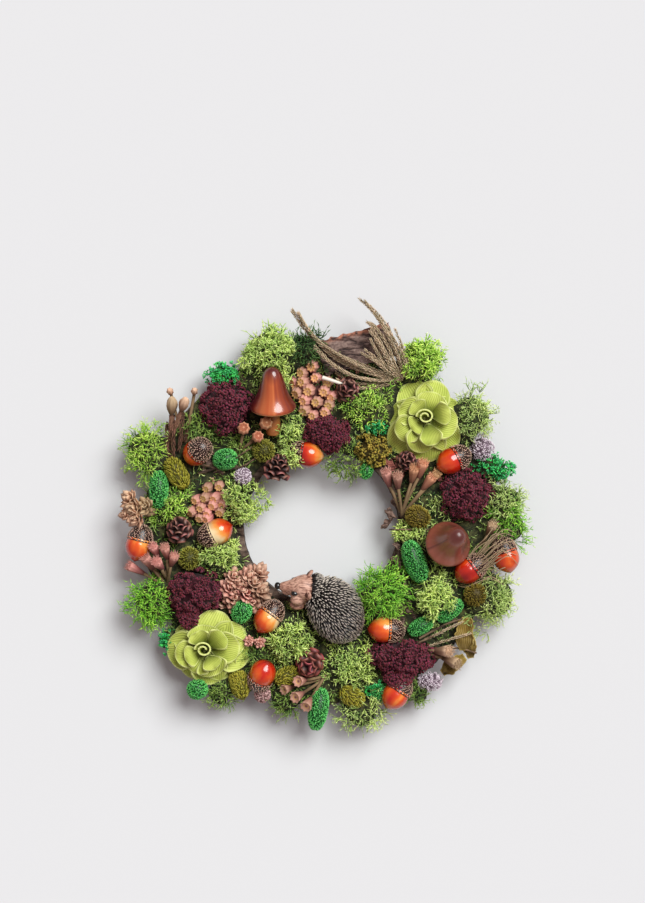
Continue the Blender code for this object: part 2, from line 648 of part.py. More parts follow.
def make_hedgehog_back():
    """An egg-shaped back. Every face of its upper side is drawn out into a spine, swept tailwards."""
    bm = bmesh.new()
    bmesh.ops.create_icosphere(bm, subdivisions=3, radius=1)
    for vert in bm.verts:
        vert.co = Vector([c * s for c, s in zip(vert.co, HEDGEHOG_BACK)])
    low = -0.3 * HEDGEHOG_BACK[2]
    for tip in bmesh.ops.poke(bm, faces=[f for f in bm.faces if f.calc_center_median().z > low])["verts"]:
        tip.co += tip.co.normalized() * SPINE + Vector((-SPINE * 0.8, 0, 0))
    sunk = HEDGEHOG_BACK[2] * 0.85
    draw_in(bm, [(Vector((0, 0, -1)), sunk)])
    merge_flat(bm)
    turn = Matrix.Rotation(math.radians(HEDGEHOG_HEADING), 3, "Z")
    return put("back", bm, "resin", spot(HEDGEHOG_AT, FLOOR + sunk), turn)


def make_hedgehog():
    """The figure, moulded in one piece: its spined back, bare head, nose, ears, cheek and paw."""
    turn = aimed(HEAD_HEADING, 0)
    centre = spot(HEAD_AT, FLOOR + HEAD_RISE_Z)
    forward = turn @ Vector((0, 0, 1))
    side = Vector((0, 0, 1)).cross(forward) * -1
    pieces = [make_hedgehog_back(), put("head", turned(HEDGEHOG_HEAD, 12), "resin", centre, turn)]
    pieces.append(make_ball(2.5 * MM, centre + forward * 19.5 * MM))
    for angle in EAR_ANGLES:
        away = Vector((0, 0, math.cos(math.radians(angle)))) + side * math.sin(math.radians(angle))
        pieces.append(make_ball(4.2 * MM, centre + away * 12 * MM - forward * 2 * MM, (0.6, 1, 1)))
    pieces.append(make_ball(6.5 * MM, centre + forward * 5 * MM - side * 7 * MM + Vector((0, 0, 3 * MM))))
    pieces.append(make_ball(5.0 * MM, centre + forward * 3 * MM - side * 13 * MM - Vector((0, 0, 4 * MM))))
    return fused("hedgehog", pieces, "resin", "MANIFOLD")


def bed_edges(angle):
    """The moss bed's inner and outer radius on one bearing: it reaches as far as its tufts do."""
    way = Vector((math.cos(angle), math.sin(angle)))
    inner, outer = BED_INNER, BED_OUTER
    for tuft in TUFTS:
        middle = Vector(tuft["at"]) * MM
        radius = sum(tuft["reach"]) / 2 * MM
        along_way, off = middle.dot(way), middle.cross(way)
        if along_way > 0 and abs(off) < radius:
            half = math.sqrt(radius ** 2 - off ** 2)
            inner, outer = min(inner, along_way - half), max(outer, along_way + half)
    return max(inner, BED_LEAST), outer


def moss_height(place):
    """How high the moss stands above the bed at a place."""
    heights = [LOW_MOSS * MM]
    for tuft in TUFTS:
        off = place / MM - Vector(tuft["at"])
        share = (off.x / tuft["reach"][0]) ** 2 + (off.y / tuft["reach"][1]) ** 2
        if share < 1:
            heights.append(tuft["height"] * MM * math.sqrt(1 - share))
    return max(heights)


def make_moss(name, first, set_on_it, chance):
    """One stretch of the bed: a flat-bottomed mat, each cell of it drawn up into a twig. Where it
    would touch what stands on it or hangs over it, it is pressed down."""
    bm = bmesh.new()
    bmesh.ops.create_grid(bm, x_segments=BED_STEPS, y_segments=BED_ROWS, size=0.5)
    underside = bmesh.ops.duplicate(bm, geom=bm.verts[:] + bm.edges[:] + bm.faces[:])
    floor_verts = [item for item in underside["geom"] if isinstance(item, bmesh.types.BMVert)]
    bmesh.ops.translate(bm, verts=floor_verts, vec=(0, 0, -1))
    is_floor = set(floor_verts)
    top_faces = [f for f in bm.faces if f.verts[0] not in is_floor]
    rims = [e for e in bm.edges if len(e.link_faces) == 1]
    bmesh.ops.bridge_loops(bm, edges=rims)
    span = math.radians(90)
    gap = SEAT_GAP / 2 / BED_LEAST
    shift = {}
    for vert in bm.verts:
        across, out = vert.co.x + 0.5, vert.co.y + 0.5
        key = (round(across, 4), round(out, 4))
        if key not in shift:
            inside = 0.01 < across < 0.99
            shift[key] = (chance.uniform(-0.3, 0.3) / BED_STEPS * inside,
                          chance.uniform(-0.3, 0.3) / BED_ROWS, chance.uniform(0.3, 0.6))
        turn_by, slide, valley = shift[key]
        angle = math.radians(first) + gap + (span - 2 * gap) * (across + turn_by)
        inner, outer = bed_edges(angle)
        is_rim = not 0.01 < out < 0.99
        radius = inner + (outer - inner) * (out + slide * (not is_rim))
        if vert in is_floor:
            radius = min(radius, RING_OUTER + (radius - RING_OUTER) * 0.6)
        place = Vector((radius * math.cos(angle), radius * math.sin(angle)))
        if vert in is_floor:
            vert.co = (*place, BED_FLOOR)
        else:
            rise = 2 * MM if is_rim else moss_height(place)
            vert.co = (*place, BED_FLOOR + BED_THICK + rise * valley)
    for tip in bmesh.ops.poke(bm, faces=top_faces)["verts"]:
        place = tip.co.xy + Vector((chance.uniform(-1, 1), chance.uniform(-1, 1))) * MM
        tip.co = (*place, BED_FLOOR + BED_THICK + moss_height(place) * chance.uniform(0.95, 1.25) + 1.5 * MM)
    press_down(bm, set_on_it)
    merge_flat(bm)
    return put(name, bm, "moss")


def merge_flat(bm):
    """Joins the level faces of a mesh into as few as they need."""
    bm.normal_update()
    flat = [f for f in bm.faces if abs(f.normal.z) > 0.99999]
    bmesh.ops.dissolve_limit(bm, angle_limit=0.0005, verts=list({v for f in flat for v in f.verts}),
                             edges=list({e for f in flat for e in f.edges}))


def press_down(bm, set_on_it):
    """Lowers the mat's top, face by face, until nothing on it is touched."""
    base = BED_FLOOR + BED_THICK
    for _ in range(40):
        tree = BVHTree.FromBMesh(bm)
        bm.faces.ensure_lookup_table()
        touched = {v for pair in tree.overlap(set_on_it) for v in bm.faces[pair[0]].verts if v.co.z > base}
        if not touched:
            return
        for vert in touched:
            height = (vert.co.z - base) * 0.7
            vert.co.z = base + (height if height > 1 * MM else 0)


def centre_on_origin():
    """Moves the whole wreath so that its box stands on the origin, centred."""
    corners = [obj.matrix_world @ v.co for obj in WREATH.objects for v in obj.data.vertices]
    low = Vector([min(c[i] for c in corners) for i in range(3)])
    high = Vector([max(c[i] for c in corners) for i in range(3)])
    shift = Vector((-(low.x + high.x) / 2, -(low.y + high.y) / 2, -low.z))
    for obj in WREATH.objects:
        obj.location += shift
    bpy.context.view_layer.update()


def build():
    make_ring()
    solid = [make_slab()]
    solid += [make_acorn(f"acorn_{n}", **row) for n, row in enumerate(ACORNS, 1)]
    solid += [make_larch_cone(f"larch_cone_{n}", **row) for n, row in enumerate(LARCH_CONES, 1)]
    solid += [make_mushroom(f"mushroom_{n}", **row) for n, row in enumerate(MUSHROOMS, 1)]
    solid += [make_rose(f"rose_{n}", **row) for n, row in enumerate(ROSES, 1)]
    solid += [make_canary_head(name, **row) for name, row in CANARY_HEADS.items()]
    solid += [make_spray(name, **row) for name, row in SPRAYS.items()]
    solid += [make_cluster(name, **row) for name, row in CLUSTERS.items()]
    solid += [make_grass(), make_hedgehog()]
    outlines = {obj.name: plan_outline(obj) for obj in solid}
    for name, row in YARROW_HEADS.items():
        head = make_dome_head(name, outlines=outlines, **row)
        outlines[name] = plan_outline(head)
        solid.append(head)
    set_on_it = inflated_tree(solid, 1.4 * SEAT_GAP)
    chance = random.Random(11)
    for name, first in STRETCHES.items():
        make_moss(name, first, set_on_it, chance)
    centre_on_origin()


clear_scene()
WREATH = bpy.data.collections.new("moss_wreath")
bpy.context.scene.collection.children.link(WREATH)
build()
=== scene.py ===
# Looks of the moss wreath: it lies on its back on a pale floor and is seen from straight above.
import math
import random

import bpy
import numpy as np
from mathutils import Matrix, Vector, noise
from mathutils.bvhtree import BVHTree


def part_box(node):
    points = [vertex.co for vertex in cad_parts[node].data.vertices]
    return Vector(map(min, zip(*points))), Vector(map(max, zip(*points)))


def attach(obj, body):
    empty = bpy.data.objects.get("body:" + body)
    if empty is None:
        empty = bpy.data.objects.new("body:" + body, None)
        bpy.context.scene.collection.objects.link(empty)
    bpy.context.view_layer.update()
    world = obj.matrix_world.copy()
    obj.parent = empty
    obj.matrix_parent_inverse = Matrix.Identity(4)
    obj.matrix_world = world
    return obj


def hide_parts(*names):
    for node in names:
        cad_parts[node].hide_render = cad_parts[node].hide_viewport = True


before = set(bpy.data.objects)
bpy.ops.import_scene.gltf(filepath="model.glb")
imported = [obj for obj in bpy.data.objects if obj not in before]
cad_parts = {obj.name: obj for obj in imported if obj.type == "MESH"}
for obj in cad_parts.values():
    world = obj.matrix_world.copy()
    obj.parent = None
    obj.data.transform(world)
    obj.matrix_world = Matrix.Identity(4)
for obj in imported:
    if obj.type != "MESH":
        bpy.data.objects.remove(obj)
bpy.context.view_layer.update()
print("frame loaded:", len(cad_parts), "nodes")

mm = 0.001
ringCentre = Vector((-0.486, -6.602, 0)) * mm   # where the ring's axis stands
bedTop = 18.0                                   # mm, the moss bed's own top
standHeight = 18.3                              # mm, what stands in the moss starts here
fullTurn = 2 * math.pi
anyRoll = 6.28                                  # a copy's random roll ends here
goldenTurn = math.radians(137.5)
skyward = Vector((0, 0, 1))


# Places are in mm: x and y from the ring's centre, z from the floor
def spot(x, y, z=0.0):
    return ringCentre + Vector((x, y, z)) * mm


def turnAbout(axis, degrees):
    return Matrix.Rotation(math.radians(degrees), 4, axis)


# Takes +Z to a heading and a rise, in degrees
def aimed(heading, rise, roll=0.0):
    return turnAbout("Z", heading) @ turnAbout("Y", 90 - rise) @ turnAbout("Z", roll)


# Takes +Z to a direction, with a roll about it, a size and a place
def stood(place, way, size, roll=0.0):
    turn = way.to_track_quat("Z", "Y").to_matrix().to_4x4()
    return Matrix.Translation(place) @ turn @ Matrix.Rotation(roll, 4, "Z") @ Matrix.Scale(size, 4)


# A copy of a form, stood with a random roll and tint
def anyCopy(chance, which, place, way, size):
    return which, stood(place, way, size, chance.uniform(0, anyRoll)), chance.random()


def randomWay(chance):
    return Vector([chance.gauss(0, 1) for _ in range(3)]).normalized()


def levelWay(angle):
    return Vector((math.cos(angle), math.sin(angle), 0))


def clearSelection():
    if bpy.context.object and bpy.context.object.mode != "OBJECT":
        bpy.ops.object.mode_set(mode="OBJECT")
    bpy.ops.object.select_all(action="DESELECT")


def namedPiece(name):
    piece = bpy.context.object
    piece.name = name
    piece.data.name = name
    return piece


def linkedPiece(name, data):
    piece = bpy.data.objects.new(name, data)
    bpy.context.scene.collection.objects.link(piece)
    return piece


def gridPiece(name, across, along, size=2):
    clearSelection()
    bpy.ops.mesh.primitive_grid_add(x_subdivisions=across, y_subdivisions=along, size=size)
    return namedPiece(name)


# Edit mode with everything selected
def startEdit():
    bpy.ops.object.mode_set(mode="EDIT")
    bpy.ops.mesh.select_all(action="SELECT")


def endEdit():
    bpy.ops.object.mode_set(mode="OBJECT")


# In edit mode: joins points up to a gap apart and turns all faces outwards
def shutMesh(gap):
    bpy.ops.mesh.select_all(action="SELECT")
    bpy.ops.mesh.remove_doubles(threshold=gap)
    bpy.ops.mesh.normals_make_consistent(inside=False)


# A cube of the size given in mm, each edge cut
def cutCube(name, size, cuts):
    clearSelection()
    bpy.ops.mesh.primitive_cube_add(size=1)
    piece = namedPiece(name)
    piece.data.transform(Matrix.Diagonal((*(side * mm for side in size), 1)))
    startEdit()
    bpy.ops.mesh.subdivide(number_cuts=cuts)
    endEdit()
    return piece


def applied(piece, kind, **values):
    bpy.context.view_layer.objects.active = piece
    step = piece.modifiers.new(kind.lower(), kind)
    for key, value in values.items():
        setattr(step, key, value)
    bpy.ops.object.modifier_apply(modifier=step.name)


def thickened(piece, thickness):
    applied(piece, "SOLIDIFY", thickness=thickness * mm, offset=0)


# Points of a smooth line through the ones given
def smoothLine(points, perSpan):
    points = [Vector(p) for p in points]
    line = []
    for index in range(len(points) - 1):
        before = points[max(index - 1, 0)]
        start, end = points[index], points[index + 1]
        after = points[min(index + 2, len(points) - 1)]
        slope = end - before
        bend = 2 * before - 5 * start + 4 * end - after
        twist = 3 * start - before - 3 * end + after
        for step in range(perSpan):
            t = step / perSpan
            line.append(0.5 * (2 * start + slope * t + bend * t * t + twist * t ** 3))
    return line + [points[-1]]


# A turned piece: its outline, as (radius, height) in mm, is extruded point by point and spun
def turned(name, outline, sides, perSpan=1):
    line = [Vector((max(radius, 0), 0, height)) * mm for radius, height in smoothLine(outline, perSpan)]
    clearSelection()
    bpy.ops.mesh.primitive_plane_add(size=mm, location=line[0])
    piece = namedPiece(name)
    startEdit()
    bpy.ops.mesh.merge(type="CENTER")
    for start, end in zip(line, line[1:]):
        bpy.ops.mesh.extrude_region_move(TRANSFORM_OT_translate={"value": end - start})
    bpy.ops.mesh.select_all(action="SELECT")
    bpy.ops.mesh.spin(steps=sides, angle=fullTurn, center=(0, 0, 0), axis=skyward)
    shutMesh(0.002 * mm)
    endEdit()
    piece.data.transform(piece.matrix_world)
    piece.matrix_world = Matrix.Identity(4)
    bpy.ops.object.shade_smooth()
    return piece


def pointsOf(piece):
    flat = np.empty(len(piece.data.vertices) * 3, np.float32)
    piece.data.vertices.foreach_get("co", flat)
    return flat.reshape(-1, 3)


def setPoints(piece, points):
    piece.data.vertices.foreach_set("co", np.ascontiguousarray(points, np.float32).ravel())
    piece.data.update()


# A value for each point, or one for all
def mark(piece, name, values):
    layer = piece.data.attributes.get(name) or piece.data.attributes.new(name, "FLOAT", "POINT")
    values = np.broadcast_to(np.asarray(values, np.float32), len(piece.data.vertices))
    layer.data.foreach_set("value", np.ascontiguousarray(values))


# What a repeated form is made of; the form's own object is removed
def takeForm(piece, along=None):
    mesh = piece.data
    points = pointsOf(piece)
    loops = np.empty(len(mesh.loops), np.int32)
    mesh.loops.foreach_get("vertex_index", loops)
    sizes = np.empty(len(mesh.polygons), np.int32)
    mesh.polygons.foreach_get("loop_total", sizes)
    if along is None:
        low, high = points[:, 2].min(), points[:, 2].max()
        along = (points[:, 2] - low) / (high - low)
    bpy.data.objects.remove(piece)
    return {"points": points, "loops": loops, "sizes": sizes, "along": np.asarray(along, np.float32)}


# One piece of many copies: each spot is (which form, matrix, tint), and may end with one value of
# along for the whole copy. The piece keeps along and tint for its material.
def copies(name, forms, spots, smooth=True):
    blocks = {"points": [], "loops": [], "sizes": [], "along": [], "tint": []}
    first = 0
    for which, form in enumerate(forms):
        mine = [s for s in spots if s[0] == which]
        if not mine:
            continue
        turns = np.array([s[1] for s in mine], np.float32)
        count = len(form["points"])
        points = np.einsum("kij,nj->kni", turns[:, :3, :3], form["points"]) + turns[:, None, :3, 3]
        starts = first + count * np.arange(len(mine), dtype=np.int32)
        blocks["points"].append(points.reshape(-1, 3))
        blocks["loops"].append((form["loops"][None, :] + starts[:, None]).ravel())
        blocks["sizes"].append(np.tile(form["sizes"], len(mine)))
        if len(mine[0]) > 3:
            blocks["along"].append(np.repeat(np.array([s[3] for s in mine], np.float32), count))
        else:
            blocks["along"].append(np.tile(form["along"], len(mine)))
        blocks["tint"].append(np.repeat(np.array([s[2] for s in mine], np.float32), count))
        first += count * len(mine)
    data = {key: np.concatenate(parts) for key, parts in blocks.items()}
    faceStarts = np.concatenate([[0], np.cumsum(data["sizes"])[:-1]])
    mesh = bpy.data.meshes.new(name)
    mesh.vertices.add(len(data["points"]))
    mesh.vertices.foreach_set("co", data["points"].astype(np.float32).ravel())
    mesh.loops.add(len(data["loops"]))
    mesh.loops.foreach_set("vertex_index", data["loops"].astype(np.int32))
    mesh.polygons.add(len(data["sizes"]))
    mesh.polygons.foreach_set("loop_start", faceStarts.astype(np.int32))
    mesh.update(calc_edges=True)
    mesh.polygons.foreach_set("use_smooth", np.full(len(data["sizes"]), smooth))
    piece = linkedPiece(name, mesh)
    mark(piece, "along", data["along"])
    mark(piece, "tint", data["tint"])
    return piece


def joined(name, pieces):
    clearSelection()
    for piece in pieces:
        piece.select_set(True)
    bpy.context.view_layer.objects.active = pieces[0]
    bpy.ops.object.join()
    return namedPiece(name)


# Moves pieces together until their box stands where a CAD node's box stands
def alignTo(node, *pieces):
    low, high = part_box(node)
    corners = np.concatenate([pointsOf(piece) for piece in pieces])
    least, most = corners.min(0), corners.max(0)
    shift = Vector(((low.x + high.x - least[0] - most[0]) / 2, (low.y + high.y - least[1] - most[1]) / 2,
                    low.z - least[2]))
    for piece in pieces:
        piece.data.transform(Matrix.Translation(shift))


def dress(piece, finish, slotName, *nodes):
    piece.data.materials.clear()
    piece.data.materials.append(finish)
    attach(piece, "root")
    if nodes:
        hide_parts(*nodes)


# A search tree of CAD nodes
def treeOf(names):
    points, faces = [], []
    for name in names:
        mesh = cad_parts[name].data
        first = len(points)
        points += [v.co.copy() for v in mesh.vertices]
        faces += [[first + index for index in face.vertices] for face in mesh.polygons]
    return BVHTree.FromPolygons(points, faces)


def isInside(tree, place, depth):
    near, normal, _, _ = tree.find_nearest(place)
    return (place - near).dot(normal) < -depth


# Shader groups and finishes. A colour is given as red, green and blue from 0 to 255.

def srgb(red, green, blue):
    return tuple((c / 255 / 12.92) if c < 10.3 else ((c / 255 + 0.055) / 1.055) ** 2.4
                 for c in (red, green, blue))


def feed(tree, socket, value):
    if isinstance(value, bpy.types.NodeSocket):
        tree.links.new(value, socket)
    elif socket.type == "RGBA":
        socket.default_value = (*srgb(*value), 1)
    else:
        socket.default_value = value


def newGroup(name, inputs, outputs):
    group = bpy.data.node_groups.new(name, "ShaderNodeTree")
    for label, kind, value in inputs:
        made = group.interface.new_socket(name=label, in_out="INPUT", socket_type=kind)
        made.default_value = value
    for label, kind in outputs:
        group.interface.new_socket(name=label, in_out="OUTPUT", socket_type=kind)
    return group, group.nodes.new("NodeGroupInput"), group.nodes.new("NodeGroupOutput")


def mathNode(tree, operation, *values, clamp=False):
    node = tree.nodes.new("ShaderNodeMath")
    node.operation = operation
    node.use_clamp = clamp
    for socket, value in zip(node.inputs, values):
        feed(tree, socket, value)
    return node.outputs[0]


def mixNode(tree, share, first, second):
    node = tree.nodes.new("ShaderNodeMix")
    node.data_type = "RGBA"
    for index, value in ((0, share), (6, first), (7, second)):
        feed(tree, node.inputs[index], value)
    return node.outputs[2]


def attributeNode(tree, name):
    node = tree.nodes.new("ShaderNodeAttribute")
    node.attribute_name = name
    return node.outputs["Fac"]


def facingNode(tree, blend):
    node = tree.nodes.new("ShaderNodeLayerWeight")
    node.inputs["Blend"].default_value = blend
    return node.outputs["Facing"]


def noiseNode(tree, scale, detail, stretch=(1, 1, 1)):
    coordinates = tree.nodes.new("ShaderNodeTexCoord")
    mapping = tree.nodes.new("ShaderNodeMapping")
    mapping.inputs["Scale"].default_value = stretch
    tree.links.new(coordinates.outputs["Object"], mapping.inputs["Vector"])
    node = tree.nodes.new("ShaderNodeTexNoise")
    feed(tree, node.inputs["Scale"], scale)
    node.inputs["Detail"].default_value = detail
    node.inputs["Roughness"].default_value = 0.55
    tree.links.new(mapping.outputs[0], node.inputs["Vector"])
    return node.outputs["Fac"]


def rampNode(tree, value, *stops):
    node = tree.nodes.new("ShaderNodeValToRGB")
    tree.links.new(value, node.inputs[0])
    marks = node.color_ramp.elements
    while len(marks) < len(stops):
        marks.new(0.5)
    for element, (place, colour) in zip(marks, stops):
        element.position = place
        element.color = (*srgb(*colour), 1)
    return node.outputs[0]


# The surface's own colour and, with a height, its relief in mm
def paint(tree, shader, colour, height=None, relief=0.0):
    feed(tree, shader.inputs["Base Color"], colour)
    if height:
        bump = tree.nodes.new("ShaderNodeBump")
        bump.inputs["Strength"].default_value = 1.0
        bump.inputs["Distance"].default_value = relief * mm
        tree.links.new(height, bump.inputs["Height"])
        tree.links.new(bump.outputs[0], shader.inputs["Normal"])


# What grows: dark at its root, partly a painted shade down in the bunch, its own colour along it,
# and lighter at its tip, partly a painted highlight; each copy has its own tone. Where along is over 1.5
# the heart's colour shows.
def makeGrowthGroup():
    group, given, put = newGroup(
        "growthColour",
        [("Root", "NodeSocketColor", (0, 0, 0, 1)), ("Body", "NodeSocketColor", (0.2, 0.2, 0.2, 1)),
         ("Tip", "NodeSocketColor", (1, 1, 1, 1)), ("Heart", "NodeSocketColor", (0.5, 0.3, 0.05, 1)),
         ("Variation", "NodeSocketFloat", 0.5), ("Mottle Scale", "NodeSocketFloat", 300.0)],
        [("Colour", "NodeSocketColor")])
    along, tint = attributeNode(group, "along"), attributeNode(group, "tint")
    low = mathNode(group, "MULTIPLY", along, 2.0, clamp=True)
    high = mathNode(group, "MULTIPLY_ADD", along, 2.0, -1.0, clamp=True)
    heart = mathNode(group, "GREATER_THAN", along, 1.5)
    colour = given.outputs["Root"]
    for share, label in ((low, "Body"), (high, "Tip"), (heart, "Heart")):
        colour = mixNode(group, share, colour, given.outputs[label])
    shade = mathNode(group, "ADD", tint, noiseNode(group, given.outputs["Mottle Scale"], 2.0))
    shade = mathNode(group, "SUBTRACT", shade, 1.0)
    shade = mathNode(group, "MULTIPLY_ADD", shade, given.outputs["Variation"], 1.0)
    toned = group.nodes.new("ShaderNodeHueSaturation")
    feed(group, toned.inputs["Value"], shade)
    feed(group, toned.inputs["Hue"], mathNode(group, "MULTIPLY_ADD", tint, -0.03, 0.515))
    feed(group, toned.inputs["Color"], colour)
    group.links.new(toned.outputs[0], put.inputs["Colour"])
    return group


# Fine fibre: long streaks with darker cracks
def makeFibreGroup():
    group, given, put = newGroup(
        "fibre", [("Scale", "NodeSocketFloat", 200.0), ("Crack", "NodeSocketFloat", 0.5)],
        [("Streak", "NodeSocketFloat"), ("Height", "NodeSocketFloat")])
    scale = given.outputs["Scale"]
    streak = noiseNode(group, scale, 5.0, (0.25, 1, 1))
    fine = noiseNode(group, mathNode(group, "MULTIPLY", scale, 3.0), 4.0)
    crack = mathNode(group, "ABSOLUTE", mathNode(group, "SUBTRACT", streak, 0.5))
    crack = mathNode(group, "MULTIPLY", crack, 8.0, clamp=True)
    crack = mathNode(group, "POWER", crack, given.outputs["Crack"])
    height = mathNode(group, "MULTIPLY", crack, mathNode(group, "MULTIPLY_ADD", fine, 0.6, 0.5))
    group.links.new(mathNode(group, "MULTIPLY", fine, crack), put.inputs["Streak"])
    group.links.new(height, put.inputs["Height"])
    return group


growthGroup = makeGrowthGroup()
fibreGroup = makeFibreGroup()


def newFinish(name, roughness, **constants):
    made = bpy.data.materials.new(name)
    made.use_nodes = True
    shader = made.node_tree.nodes["Principled BSDF"]
    shader.inputs["Roughness"].default_value = roughness
    for label, value in constants.items():
        shader.inputs[label.replace("_", " ")].default_value = value
    return made, made.node_tree, shader


def groupNode(tree, group, **values):
    node = tree.nodes.new("ShaderNodeGroup")
    node.node_tree = group
    for label, value in values.items():
        feed(tree, node.inputs[label.replace("_", " ")], value)
    return node


def growthFinish(name, root, body, tip, heart=(0, 0, 0), roughness=0.8, variation=0.5, mottle=300.0,
                 **constants):
    made, tree, shader = newFinish(name, roughness, **constants)
    node = groupNode(tree, growthGroup, Root=root, Body=body, Tip=tip, Heart=heart, Variation=variation,
                     Mottle_Scale=mottle)
    paint(tree, shader, node.outputs["Colour"])
    return made


def plainFinish(name, colour, roughness, **constants):
    made, tree, shader = newFinish(name, roughness, **constants)
    paint(tree, shader, colour)
    return made


# Round lines through points as one mesh: their radius in mm runs from foot to end, or both are pointed
def makeLines(name, lines, foot, end, sides=8, pointed=False):
    clearSelection()
    ring = bpy.data.curves.new(name + "Ring", "CURVE")
    outline = ring.splines.new("POLY")
    outline.points.add(sides - 1)
    outline.use_cyclic_u = True
    for index, point in enumerate(outline.points):
        angle = fullTurn * index / sides
        point.co = (math.cos(angle) * mm, math.sin(angle) * mm, 0, 1)
    ringObject = bpy.data.objects.new(name + "Ring", ring)
    data = bpy.data.curves.new(name, "CURVE")
    data.dimensions = "3D"
    data.bevel_mode = "OBJECT"
    data.bevel_object = ringObject
    data.use_fill_caps = not pointed
    for line in lines:
        run = data.splines.new("POLY")
        run.points.add(len(line) - 1)
        for index, (point, place) in enumerate(zip(run.points, line)):
            point.co = (*place, 1)
            point.radius = foot + (end - foot) * index / (len(line) - 1)
            if pointed and index in (0, len(line) - 1):
                point.radius = 0
    piece = linkedPiece(name, data)
    piece.select_set(True)
    bpy.context.view_layer.objects.active = piece
    bpy.ops.object.convert(target="MESH")
    bpy.data.objects.remove(ringObject)
    piece = namedPiece(name)
    if pointed:
        startEdit()
        shutMesh(0.001 * mm)
        endEdit()
    mark(piece, "along", 0.4)
    mark(piece, "tint", 0.5)
    return piece


# Root, body and tip, and how much the shade varies
mossColours = {
    "pale": ((88, 114, 40), (186, 216, 102), (224, 244, 148), 0.4),
    "soft": ((96, 122, 50), (182, 210, 112), (220, 238, 152), 0.45),
    "lime": ((68, 108, 22), (160, 210, 66), (214, 242, 122), 0.45),
    "bright": ((42, 100, 14), (122, 196, 44), (178, 234, 92), 0.4),
    "fine": ((54, 78, 28), (118, 152, 60), (166, 196, 96), 0.5),
    "dark": ((18, 36, 16), (48, 84, 38), (88, 126, 62), 0.6),
    "emerald": ((2, 60, 22), (14, 148, 58), (88, 226, 128), 0.5),
}
mossFinishes = {name: growthFinish("moss" + name.title(), *colours, variation=variation)
                for name, (*colours, variation) in mossColours.items()}
# Moss clumps: strands that bend, wander and fork; their runs and radii, thick to thin, are in mm
mossHabits = {
    "net": dict(mains=5, spans=4, run=6.6, forks=1, forkRun=4.0, upright=0.35, wander=0.85, thick=0.44,
                thin=0.4),
    "hair": dict(mains=5, spans=3, run=8.8, forks=2, forkRun=4.8, upright=1.1, wander=0.4, thick=0.4,
                 thin=0.3),
    "low": dict(mains=5, spans=3, run=8.0, forks=1, forkRun=4.6, upright=1.0, wander=0.45, thick=0.42,
                thin=0.32),
    "wisp": dict(mains=2, spans=3, run=13.0, forks=6, forkRun=4.0, upright=1.6, wander=0.4, thick=0.4,
                 thin=0.3),
}
mossKinds = 6                                   # clumps of each habit
crumbHeap = dict(grains=24, grain=0.52, spread=1.9, lobes=5)


def strand(chance, start, way, run, spans, wander):
    line = [start]
    for _ in range(spans):
        way = (way + randomWay(chance) * wander).normalized()
        line.append(line[-1] + way * run / spans)
    return line


def makeClump(seed, mains, spans, run, forks, forkRun, upright, wander, thick, thin):
    chance = random.Random(seed)
    longs, shorts = [], []
    for k in range(mains):
        way = levelWay(fullTurn * (k + chance.uniform(-0.3, 0.3)) / mains)
        way.z = upright * chance.uniform(0.6, 1.5)
        way.normalize()
        line = strand(chance, way * 0.3, way, run * chance.uniform(0.75, 1.2), spans, wander)
        longs.append([p * mm for p in line])
        for j in range(forks):
            start = line[1 + j % 2].lerp(line[2 + j % 2], chance.random())
            side = (randomWay(chance) + way * 0.6 + Vector((0, 0, 0.3 * upright))).normalized()
            fork = strand(chance, start, side, forkRun * chance.uniform(0.7, 1.25), 2, wander)
            shorts.append([p * mm for p in fork])
    clump = joined("clump", [makeLines("clump", lines, thick, thin, 3, True) for lines in (longs, shorts)])
    reach = np.linalg.norm(pointsOf(clump), axis=1)
    return takeForm(clump, along=np.clip(reach / reach.max() * 1.25, 0, 1))


# A crumbly clump: small grains heaped in a few lobes, darker at its foot and lighter at its top,
# a painted shade and painted light
def makeCrumbs(seed):
    chance = random.Random(seed)
    grain, spread = crumbHeap["grain"], crumbHeap["spread"]
    form = takeForm(turned("grain", ((0, -grain), (grain, 0), (0, grain)), 4))
    spots = []
    for k in range(crumbHeap["grains"]):
        lobe = randomWay(random.Random(seed * 7 + k % crumbHeap["lobes"])) * spread * 0.8
        place = lobe + randomWay(chance) * spread * chance.uniform(0.2, 0.62)
        spots.append((0, stood(place * mm, randomWay(chance), chance.uniform(0.7, 1.3)), chance.random()))
    clump = copies("clump", [form], spots)
    rise = pointsOf(clump)[:, 2]
    return takeForm(clump, along=np.clip((rise - rise.min()) / (rise.max() - rise.min()) * 1.2, 0, 1))


mossForms = {habit: [makeClump(seed + 31 * len(habit), **look) for seed in range(mossKinds)]
             for habit, look in mossHabits.items()}
mossForms["curl"] = [makeCrumbs(seed) for seed in range(mossKinds)]
print("moss clumps made")

